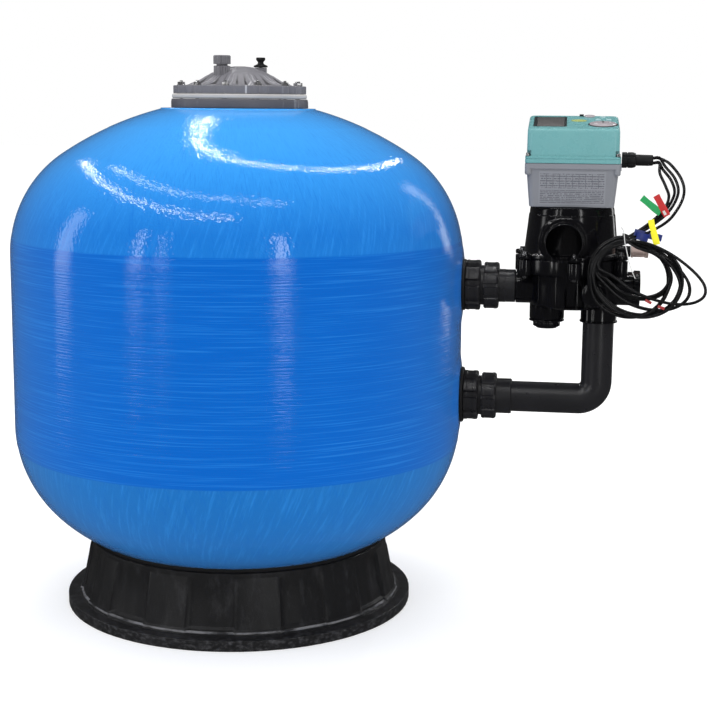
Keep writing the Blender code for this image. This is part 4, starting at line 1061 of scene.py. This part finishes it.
# ---- side connections
def blocks(count, depth, radius, low, high, share=0.55, turn=0):
    """Shape with raised grip blocks on everything beyond a radius and between two heights."""
    def shape(angle, r, h):
        if r < radius or h < low or h > high:
            return r, h
        local = ((angle + turn) * count / (2 * math.pi)) % 1
        spot = abs(local - 0.5) * 2
        return r - depth * smooth_step(spot, share, share + 0.14), h
    return shape


def side_connection(prefix, height, flange_r, tail_r, tail_outline):
    """One port, from the bulkhead inside the vessel to the clamp nut of its union."""
    spot = (0, 0, height)
    turned(prefix + "_bulkhead_body", [(0.027, 0.4285), (0.0518, 0.4285), (0.0518, 0.442), (0.04, 0.4425),
        (0.04, 0.4982), (0.0388, 0.499), (0.04, 0.4998), (0.04, 0.5155), (0.0392, 0.5163), (0.027, 0.5163)],
        "pipe", spot, TO_X, 72, 0.0006, True, nodes=prefix + "_bulkhead")
    turned(prefix + "_flange_seal", [(0.0404, 0.4632), (flange_r, 0.4632), (flange_r, 0.467),
        (flange_r - 0.002, 0.4688), (0.0404, 0.4688)], "rubber", spot, TO_X, 72, 0.001, True,
        nodes=prefix + "_bulkhead_seal")
    turned(prefix + "_lock_nut", [(0.0404, 0.4695), (0.0498, 0.4695), (0.0508, 0.4705), (0.0508, 0.476),
        (0.05, 0.4765), (0.05, 0.4885), (0.0507, 0.489), (0.0507, 0.4955), (0.049, 0.4977),
        (0.0404, 0.4977)], "pipe", spot, TO_X, 192, 0.0006, True, nodes=prefix + "_bulkhead_nut",
        shape=blocks(8, 0.0062, 0.047, 0.4699, 0.4979, 0.6, 0.2))
    turned(prefix + "_tail", [(0.027, 0.5171), (0.0385, 0.5171), (0.0385, 0.5222), (tail_r, 0.5226)] +
        tail_outline, "pipe", spot, TO_X, 72, 0.0006, True, nodes=prefix + "_union_tail")
    lip = tail_r + 0.0009
    turned(prefix + "_clamp_nut", [(0.0409, 0.5052), (0.0452, 0.5052), (0.047, 0.5078), (0.047, 0.511),
        (0.0466, 0.5116), (0.0466, 0.5262), (0.0471, 0.5268), (0.0471, 0.5312), (0.0445, 0.5346),
        (lip, 0.5348), (lip, 0.5229), (0.0409, 0.5229)], "pipe", spot, TO_X, 192, 0.0008, True,
        body=prefix + "_nut", nodes=prefix + "_union_nut",
        shape=blocks(12, 0.0022, 0.044, 0.5056, 0.534, 0.62, 0.1))


side_connection("upper", PORT_HIGH, 0.0518, 0.0333, [(0.0333, 0.5478), (0.0329, 0.5482), (0.0329, 0.5672),
    (0.0322, 0.568), (0.029, 0.5684), (0.029, 0.59), (0.027, 0.59)])
side_connection("lower", PORT_LOW, 0.0566, 0.0357, [(0.0357, 0.564), (0.0345, 0.5655), (0.0313, 0.5655),
    (0.0313, 0.544), (0.027, 0.544)])


PIPE_R, ELBOW_R = 0.0309, 0.036


def build_bend_pipe():
    centres = [(0.5445, PORT_LOW), (0.6, PORT_LOW), (0.65, PORT_LOW)]
    centres += arc_points((RISER_X - ELBOW_R, PORT_LOW + ELBOW_R), ELBOW_R, -math.pi / 2, 0, 16)
    centres += [(RISER_X, 0.53), (RISER_X, 0.58), (RISER_X, 0.637)]
    bm = bmesh.new()
    sweep(bm, [world(x, 0, z) for x, z in centres], PIPE_R, 56)
    finish("bend_tube", bm, "pipe", nodes="bend_pipe", sharp=50)


build_bend_pipe()

# ---- valve
VALVE_BOLTS, VALVE_BOLT_R, VALVE_BOLT_START = 6, 0.1075, math.radians(4)


def pot_shape(angle, radius, height):
    """The pot narrows to a web between its two upright ways, at the front and at the back."""
    if radius < 0.075 or radius > 0.0812 or height > 0.699 or height < 0.64:
        return radius, height
    rise = 1 - smooth_step(height, 0.66, 0.69)
    swing = math.degrees(math.atan2(-abs(math.sin(angle)), math.cos(angle)))
    web = between(swing, -98, -94, -70, -66)
    return radius - 0.011 * web * rise, height


def build_valve_body():
    bm = bmesh.new()
    upright = place((VALVE_X, 0, 0))
    port = place((0, 0, PORT_HIGH), TO_X)
    add_turned(bm, [(0, 0.6352), (0.07, 0.6352), (0.079, 0.6405), (0.0794, 0.66), (0.0795, 0.67),
        (0.0796, 0.68), (0.0797, 0.69), (0.081, 0.701), (0.0985, 0.7035), (0.1, 0.707), (0.1, 0.7325),
        (0.099, 0.7333), (0.07, 0.7333), (0.07, 0.69), (0, 0.69)], 0.003, 240, upright, pot_shape, steps=4)
    add_turned(bm, [(0.0295, 0.5692), (0.033, 0.5692), (0.0335, 0.57), (0.0335, 0.6), (0.0342, 0.615),
        (0.036, 0.63), (0, 0.63), (0, 0.6), (0.0295, 0.595)], 0.0008, 72, port)
    add_turned(bm, [(0, 0.72), (0.0345, 0.72), (0.0335, 0.75), (0.0335, 0.7995), (0.0325, 0.8003),
        (0, 0.8003)], 0.0008, 72, port)
    add_turned(bm, [(0, 0.6047), (0.0336, 0.6047), (0.035, 0.6054), (0.035, 0.6078), (0.0338, 0.6086),
        (0.0322, 0.6096), (0.0345, 0.611), (0.0348, 0.655), (0, 0.655)], 0.0006, 72, place((DRAIN_X, 0, 0)))
    add_turned(bm, [(0.0312, 0.6047), (0.0362, 0.6047), (0.0375, 0.6054), (0.0375, 0.6078),
        (0.0364, 0.6086), (0.0356, 0.609), (0.036, 0.665), (0.033, 0.68), (0.024, 0.69), (0.01, 0.6948),
        (0, 0.695), (0, 0.66), (0.0312, 0.64)], 0.001, 72, place((RISER_X, 0, 0)))
    add_turned(bm, [(0, 0.04), (0.029, 0.04), (0.0272, 0.07), (0.0268, 0.088), (0.0235, 0.0945),
        (0.016, 0.097), (0, 0.0975)], 0.0015, 56, place((0.723, 0, 0.6713), TO_FRONT))
    for x, y in circle_of(VALVE_BOLTS, VALVE_BOLT_R, VALVE_BOLT_START):
        add_turned(bm, [(0, 0.701), (0.0128, 0.701), (0.0143, 0.703), (0.0143, 0.7325), (0, 0.7325)],
            0.0012, 32, place((VALVE_X + x, y, 0)))
    for i in range(12):
        angle = 2 * math.pi * (i + 0.35) / 12
        rib = upright @ Matrix.Rotation(angle, 4, "Z") @ Matrix.Translation((0.079, 0, 0))
        soft_block(bm, 0.0022, 0.0013, 0.644, 0.704, 0.0008, 0.0006, rib, 2)
    finish("valve_pot", bm, "valve", nodes="valve_body", sharp=36)


def build_bonnet():
    bm = bmesh.new()
    upright = place((VALVE_X, 0, 0))
    base = 0.734
    add_turned(bm, [(0.074, base), (0.099, base), (0.1, base + 0.001), (0.1, base + 0.0075),
        (0.096, base + 0.0086), (0.0926, base + 0.011), (0.09, 0.77), (0.0872, 0.795), (0.085, 0.818),
        (0.0842, 0.82), (0.0836, 0.8206), (0.083, 0.829), (0.0815, 0.835), (0.079, 0.8363), (0.011, 0.8363),
        (0.011, 0.829), (0.074, 0.829)], 0.0022, 144, upright, closed=True, steps=4)
    x, z = FRONT_PORT
    collar = place((x, 0, z), TO_FRONT)
    add_turned(bm, [(0.0346, 0.045), (0.05, 0.045), (0.05, 0.084), (0.049, 0.0895), (0.044, 0.0928),
        (0.0385, 0.093), (0.0372, 0.094), (0.0369, 0.124), (0.037, 0.1288), (0.0362, 0.1299),
        (0.0352, 0.1299), (0.0345, 0.1288)], 0.0022, 96, collar, closed=True, steps=4)
    lathe(bm, [(0, 0.05), (0.0348, 0.05), (0.0348, 0.056), (0, 0.056)], 64, collar)
    add_turned(bm, [(0, 0.74), (0.013, 0.74), (0.0118, 0.77), (0.011, 0.778), (0.011, 0.7935), (0, 0.7935)],
        0.0006, 40, place((0, *SIGHT), TO_X))
    for bx, by in circle_of(VALVE_BOLTS, VALVE_BOLT_R, VALVE_BOLT_START):
        spot = place((VALVE_X + bx, by, 0))
        add_turned(bm, [(0, base + 0.0004), (0.0143, base + 0.0004), (0.0143, base + 0.0078),
            (0.0128, base + 0.009), (0, base + 0.009)], 0.0012, 32, spot)
    for i in range(16):
        angle = 2 * math.pi * (i + 0.5) / 16
        rib = upright @ Matrix.Rotation(angle, 4, "Z")
        rows = [(0.0915, base + 0.008), (0.089, 0.77), (0.086, 0.799), (0.0838, 0.8215)]
        section = []
        for radius, height in rows:
            section.append([bm.verts.new(rib @ Vector((radius + dr, dy, height))) for dr, dy in
                ((-0.004, -0.0012), (0.0004, -0.0012), (0.0013, -0.0005), (0.0013, 0.0005),
                (0.0004, 0.0012), (-0.004, 0.0012))])
        skin(bm, section)
    finish("valve_dome", bm, "valve", nodes="valve_bonnet", sharp=36)


build_valve_body()
build_bonnet()


def cap_screw(name, at, radius, height, material="steel"):
    """Socket-head screw with a round recess."""
    bm = bmesh.new()
    add_turned(bm, [(0, 0), (radius * 1.25, 0), (radius * 1.25, height * 0.18), (radius, height * 0.18),
        (radius, height), (radius * 0.55, height), (radius * 0.5, height * 0.45), (0, height * 0.45)],
        radius * 0.12, 24, place(at), steps=2)
    return finish(name, bm, material, sharp=30)


for number, (x, y) in enumerate(circle_of(VALVE_BOLTS, VALVE_BOLT_R, VALVE_BOLT_START), 1):
    cap_screw(f"flange_screw_{number}", (VALVE_X + x, y, 0.7428), 0.0056, 0.0056, "screw")
    bm = bmesh.new()
    hexagon(bm, 0.0068, 0.696, 0.7012, place((VALVE_X + x, y, 0)))
    finish(f"flange_nut_{number}", bm, "screw", sharp=30)

turned("drain_cap", [(0, 0.5902), (0.0165, 0.5902), (0.02, 0.5906), (0.0228, 0.5935), (0.0262, 0.594),
    (0.027, 0.595), (0.027, 0.603), (0.0262, 0.604), (0.023, 0.6042), (0.023, 0.624), (0, 0.624)], "valve",
    (DRAIN_X, 0, 0), sides=96, radius=0.0006, body="plug", nodes="drain_plug",
    shape=flutes(12, 0.0012, 0.025, 0.593, 0.6045))
turned("side_cap", [(0, 0.79), (0.025, 0.79), (0.0255, 0.8007), (0.0365, 0.8007), (0.0365, 0.8118),
    (0.0352, 0.8136), (0.015, 0.814), (0, 0.814)], "valve", (0, 0, PORT_HIGH), TO_X, 96, 0.001,
    nodes="side_port_cap", shape=flutes(24, 0.0008, 0.0355, 0.801, 0.8115))
turned("sight_window", [(0.0085, 0.7945), (0.0119, 0.7945), (0.012, 0.7982), (0.0109, 0.7988),
    (0.0109, 0.8214), (0.0121, 0.822), (0.0122, 0.8276), (0.0114, 0.8284), (0, 0.8284), (0, 0.8252),
    (0.0085, 0.825)], "clear", (0, *SIGHT), TO_X, 64, 0.0006, nodes="sight_glass")

# ---- actuator
BASE_AT = place((BOX_X, 0, 0))
CORNERS = (-1, -1), (-1, 1), (1, -1), (1, 1)
PANEL = (Matrix.Translation(world(BOX_X, 0, PANEL_Z)) @ Matrix.Rotation(BOX_TILT, 4, "X"))


def build_actuator_base():
    bm = bmesh.new()
    sections = box_sections([(0.08, 0.068, 0.009, 0.8368), (0.0818, 0.0698, 0.01, 0.8378),
        (0.0822, 0.0702, 0.0125, 0.84), (0.0886, 0.0766, 0.0125, 0.908), (0.0892, 0.0772, 0.01, 0.91),
        (0.0912, 0.0792, 0.008, 0.9104), (0.092, 0.08, 0.008, 0.9116), (0.092, 0.08, 0.008, 0.9202),
        (0.0914, 0.0794, 0.008, 0.9209)])
    loft(bm, sections, BASE_AT)
    for sx, sy in CORNERS:
        lug = BASE_AT @ Matrix.Translation((sx * 0.085, sy * 0.073, 0))
        add_turned(bm, [(0, 0.899), (0.005, 0.899), (0.0068, 0.902), (0.0068, 0.92), (0, 0.92)], 0.0008, 28,
            lug)
    entry = Matrix.Translation(world(BOX_X + 0.092, 0, 0))
    soft_block(bm, 0.0032, 0.013, 0.906, 0.92, 0.0016, 0.001, entry)
    finish("case_lower", bm, "case", nodes="actuator_base", sharp=30)


def build_actuator_lid():
    bm = bmesh.new()
    tilt = math.tan(BOX_TILT)
    sections = box_sections([(0.0908, 0.0792, 0.008, 0.9216), (0.0917, 0.08, 0.008, 0.9225),
        (0.0917, 0.08, 0.008, 0.929), (0.091, 0.0793, 0.008, 0.9296), (0.091, 0.0793, 0.008, 0.9304),
        (0.0917, 0.08, 0.008, 0.931), (0.0917, 0.08, 0.008, 0.9338), (0.0908, 0.079, 0.0085, 0.9348),
        (0.0886, 0.0771, 0.01, 0.9356)])
    edge = 0.005
    top = (0.0878, 0.0766)

    def slope(drop):
        return lambda x, y: PANEL_Z + y * tilt - drop

    sections.append((box_loop(top[0] + 0.0004, top[1] + 0.0003, 0.011), slope(edge + 0.0008)))
    for step in range(7):
        angle = math.pi / 2 * step / 6
        inset = edge * (1 - math.cos(angle))
        sections.append((box_loop(top[0] - inset, top[1] - inset, 0.011 - inset * 0.6),
            slope(edge * (1 - math.sin(angle)))))
    loft(bm, sections, BASE_AT)
    lid = finish("case_cover", bm, "cover", nodes="actuator_lid", sharp=28)
    tool = bmesh.new()
    soft_block(tool, 0.0325, 0.0565, -0.0016, 0.01, 0.003, 0.0005,
        PANEL @ Matrix.Translation((-0.046, 0.006, 0)))
    cut(lid, tool)
    for sx, sy in CORNERS:
        tool = bmesh.new()
        lathe(tool, [(0, 0.9352), (0.0062, 0.9352), (0.0062, 0.946), (0, 0.946)], 28,
            BASE_AT @ Matrix.Translation((sx * 0.0858, sy * 0.0738, 0)))
        cut(lid, tool)


build_actuator_base()
build_actuator_lid()
for number, (sx, sy) in enumerate(((-1, -1), (1, -1), (-1, 1), (1, 1)), 1):
    cap_screw(f"case_screw_{number}", (BOX_X + sx * 0.0862, sy * 0.0742, 0.9352), 0.004, 0.006)


def build_label():
    """Thin printed plate on the sloping front of the lower case."""
    low, high = LABEL_LOW, LABEL_HIGH
    bm = bmesh.new()
    rows = []
    for z in (low, high):
        y = -(0.0702 + (z - 0.84) * (0.0766 - 0.0702) / (0.908 - 0.84))
        rows.append((y, z))
    for lift in (-0.0006, 0.00025):
        for y, z in rows:
            for x in (-0.064, 0.064):
                bm.verts.new(world(BOX_X + x, y - lift, z))
    bm.verts.ensure_lookup_table()
    v = bm.verts
    for face in ((0, 1, 3, 2), (4, 6, 7, 5), (0, 4, 5, 1), (2, 3, 7, 6), (0, 2, 6, 4), (1, 5, 7, 3)):
        bm.faces.new([v[i] for i in face])
    bmesh.ops.bevel(bm, geom=list(bm.edges), offset=0.0001, segments=2, affect="EDGES")
    finish("case_chart", bm, "label", sharp=30)


build_label()


def on_panel(name, half_x, half_y, low, high, corner, edge, spot, material, body="filter", nodes=()):
    """Rounded block that lies on the control panel."""
    bm = bmesh.new()
    soft_block(bm, half_x, half_y, low, high, corner, edge, PANEL @ Matrix.Translation((*spot, 0)))
    return finish(name, bm, material, body, nodes, sharp=30)


def panel_turned(name, outline, spot, material, sides=72, radius=0.0004, body="filter", nodes=(),
        shape=None, squash=(1, 1)):
    """Turned piece that stands on the control panel."""
    bm = bmesh.new()
    matrix = PANEL @ Matrix.Translation((*spot, 0)) @ Matrix.Diagonal((*squash, 1, 1))
    add_turned(bm, outline, radius, sides, matrix, shape)
    return finish(name, bm, material, body, nodes, sharp=30)


WINDOW = (-0.046, 0.006)
on_panel("window_bezel", 0.032, 0.056, -0.0016, -0.0004, 0.0028, 0.0003, WINDOW, "bezel",
    nodes="display_window")
on_panel("window_screen", 0.0262, 0.05, -0.001, -0.0001, 0.0015, 0.0003, (WINDOW[0] + 0.0012, WINDOW[1]),
    "screen")
DIAL = (0.056, -0.024)
panel_turned("dial_surround", [(0, 0), (0.029, 0), (0.029, 0.0009), (0.0268, 0.0012), (0.0267, 0.0004),
    (0, 0.0004)], DIAL, "bezel")
panel_turned("dial_knob", [(0, 0.0005), (0.0262, 0.0005), (0.0265, 0.001), (0.0262, 0.0024),
    (0.0232, 0.0034), (0.02, 0.003), (0.0185, 0.0032), (0.017, 0.0043), (0, 0.0044)], DIAL, "dial",
    sides=144, body="dial", nodes="selector_dial", shape=flutes(36, 0.0005, 0.025, 0, 0.003))
on_panel("dial_pointer", 0.0014, 0.0085, 0.004, 0.0045, 0.0008, 0.0002, (DIAL[0], DIAL[1] + 0.008), "bezel",
    body="dial")
KEYS = {"key_left": (0.047, 0.029), "key_right": (0.068, 0.029), "key_up": (0.0575, 0.056)}
for key, spot in KEYS.items():
    on_panel(key + "_pad", 0.005, 0.006, -0.002, 0.0018, 0.0026, 0.001, spot, "key", key + "_cap", key)
panel_turned("badge_oval", [(0, -0.0002), (1, -0.0002), (1, 0.0006), (0.86, 0.001), (0.8, 0.0007),
    (0, 0.0008)], (0.01, 0.017), "badge", radius=0.02, squash=(0.0155, 0.011))
panel_turned("lock_button", [(0, -0.0002), (0.011, -0.0002), (0.011, 0.0014), (0.0098, 0.0024),
    (0.006, 0.0022), (0.0048, 0.0034), (0, 0.0036)], (0.031, 0.064), "dial")
on_panel("lock_lever", 0.0042, 0.0022, -0.0002, 0.004, 0.001, 0.0008, (0.015, 0.068), "bezel")

# ---- cable entry
turned("entry_nut", [(0.0114, 0.7696), (0.015, 0.7696), (0.0155, 0.7702), (0.0155, 0.7788),
    (0.0138, 0.7794), (0.0138, 0.7806), (0.0155, 0.7812), (0.0155, 0.7898), (0.014, 0.795),
    (0.0128, 0.7964), (0.0114, 0.7964)], "rubber", (0, 0, ENTRY_Z), TO_X, 96, 0.0005, True,
    nodes="cable_gland", shape=blocks(6, 0.0016, 0.0145, 0.7698, 0.79, 0.75))
turned("shrink_sleeve", [(0, 0.7742), (0.011, 0.7742), (0.011, 0.796), (0.0112, 0.8), (0.011, 0.82),
    (0.0106, 0.8285), (0.0092, 0.8298), (0, 0.8296)], "rubber", (0, 0, ENTRY_Z), TO_X, 48, 0.001,
    nodes="cable_sleeve", shape=lambda a, r, h:
    (r - (0.0004 * (0.5 + 0.5 * math.sin(3 * a + 160 * h)) if r > 0.01 else 0), h))

# ---- pieces kept from the frame
KEPT = {"inlet_diffuser": "pipe", "underdrain": "pipe", "valve_rotor": "gear", "valve_stem": "steel",
    "rotor_spring": "spring", "output_gear": "gear", "motor_pinion": "gear", "drive_motor": "steel"}
for name, material in KEPT.items():
    node = frame["nodes"][name]
    node.data.materials.clear()
    node.data.materials.append(MATERIALS[material])

# ---- studio
floor_graph = Graph("floor_pale", (0.62, 0.62, 0.62), 0.8, Emission_Color=(1, 1, 1, 1),
    Emission_Strength=0.42)
floor_graph.link(floor_graph.blend(floor_graph.noise(0.8, 2), (0.615, 0.615, 0.615), (0.625, 0.625, 0.625)),
    "Base Color")
floor_mesh = bpy.data.meshes.new("floor")
FLOOR_HALF = 30
floor_mesh.from_pydata([(-FLOOR_HALF, -FLOOR_HALF, 0), (FLOOR_HALF, -FLOOR_HALF, 0),
    (FLOOR_HALF, FLOOR_HALF, 0), (-FLOOR_HALF, FLOOR_HALF, 0)], [], [(0, 1, 2, 3)])
floor_mesh.materials.append(floor_graph.material)
floor = add_object("floor", floor_mesh)
floor.visible_glossy = False
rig.stage(floor)
AMBIENT, MIRRORED = 0.6, 0.06        # brightness of the room as a lamp, and as reflections show it
sky = bpy.data.worlds.new("studio")
sky.use_nodes = True
sky_nodes, sky_links = sky.node_tree.nodes, sky.node_tree.links
background = sky_nodes["Background"]
background.inputs["Color"].default_value = (1, 1, 1, 1)
ray = sky_nodes.new("ShaderNodeLightPath")
strength = AMBIENT
for output, change in (("Is Camera Ray", 1 - AMBIENT), ("Is Glossy Ray", MIRRORED - AMBIENT)):
    step = sky_nodes.new("ShaderNodeMath")
    step.operation = "MULTIPLY_ADD"
    sky_links.new(ray.outputs[output], step.inputs[0])
    step.inputs[1].default_value = change
    if isinstance(strength, float):
        step.inputs[2].default_value = strength
    else:
        sky_links.new(strength, step.inputs[2])
    strength = step.outputs[0]
sky_links.new(strength, background.inputs["Strength"])
bpy.context.scene.world = sky
bpy.context.scene.view_settings.view_transform = "Standard"


def strip_light(name, start, end, width, radiance, aim):
    """Long soft lamp from start to end, facing aim; radiance is what a mirror would show."""
    start, end = world(*start), world(*end)
    middle, along = (start + end) / 2, end - start
    data = bpy.data.lights.new(name, "AREA")
    data.shape = "RECTANGLE"
    data.size, data.size_y = along.length, width
    data.energy = radiance * math.pi * along.length * width
    facing = (world(*aim) - middle).normalized()
    side = along.normalized()
    facing = (facing - side * facing.dot(side)).normalized()
    up = facing.cross(side)
    made = add_object(name, data)
    made.matrix_world = Matrix.Translation(middle) @ Matrix((side, -up, -facing)).transposed().to_4x4()
    made.visible_camera = False


CEILING = 4
MIDDLE = (0.1, 0, 0.8)
NEAR_LOOP = [(-1.14, 4.6), (-1.19, 3.1), (-1.09, 2.1), (-0.92, 1.4), (-0.55, 0.88), (-0.05, 0.54),
    (0.6, 0.4), (1.25, 0.75), (1.8, 1.75), (2.05, 3.2), (1.85, 6.5)]
MIDDLE_LOOP = [(-2.6, 1.2), (-2.2, 0.05), (-1.75, -0.85), (-1.1, -1.6), (-0.4, -1.9), (0.6, -1.95),
    (1.7, -1.85)]
FAR_LOOP = [(-3.7, 3.5), (-3.25, 0.6), (-2.7, -1.5), (-1.85, -2.6), (-0.8, -3.4), (0.6, -3.6)]
for loop_name, spots, width, radiance in (("near", NEAR_LOOP, 0.024, 80), ("middle", MIDDLE_LOOP, 0.07, 12),
        ("far", FAR_LOOP, 0.08, 22)):
    for number, (first, second) in enumerate(zip(spots, spots[1:])):
        strip_light(f"{loop_name}_{number}", (*first, CEILING), (*second, CEILING), width, radiance, MIDDLE)


def side_light(name, azimuth, distance, low, high, width, radiance):
    """Upright soft lamp at an azimuth from straight in front, positive to the right."""
    turn = math.radians(azimuth)
    x, y = distance * math.sin(turn), -distance * math.cos(turn)
    strip_light(name, (x, y, low), (x, y, high), width, radiance, (0, 0, (low + high) / 2))


side_light("left_wide", -78, 4, 0.2, 3, 0.7, 2.2)
side_light("left_narrow", -36, 4.5, 0.3, 3, 0.16, 8)
side_light("left_thin", -24, 4.5, 0.3, 3, 0.1, 6)
side_light("right_wide", 32, 4.5, 0.2, 3, 0.34, 5.5)
side_light("right_back", 134, 3.5, 0.2, 3, 0.5, 1.8)

overhead = add_object("overhead", bpy.data.lights.new("overhead", "SUN"))
overhead.data.energy = 1.75
overhead.data.angle = math.radians(110)
overhead.rotation_euler = (math.radians(14), math.radians(16), 0)
overhead.visible_glossy = False

with open("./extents.json", "w") as size_file:
    json.dump({"cad": [list(corner) for corner in CAD_BOX],
        "visual": [list(corner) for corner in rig.bounds()]}, size_file)
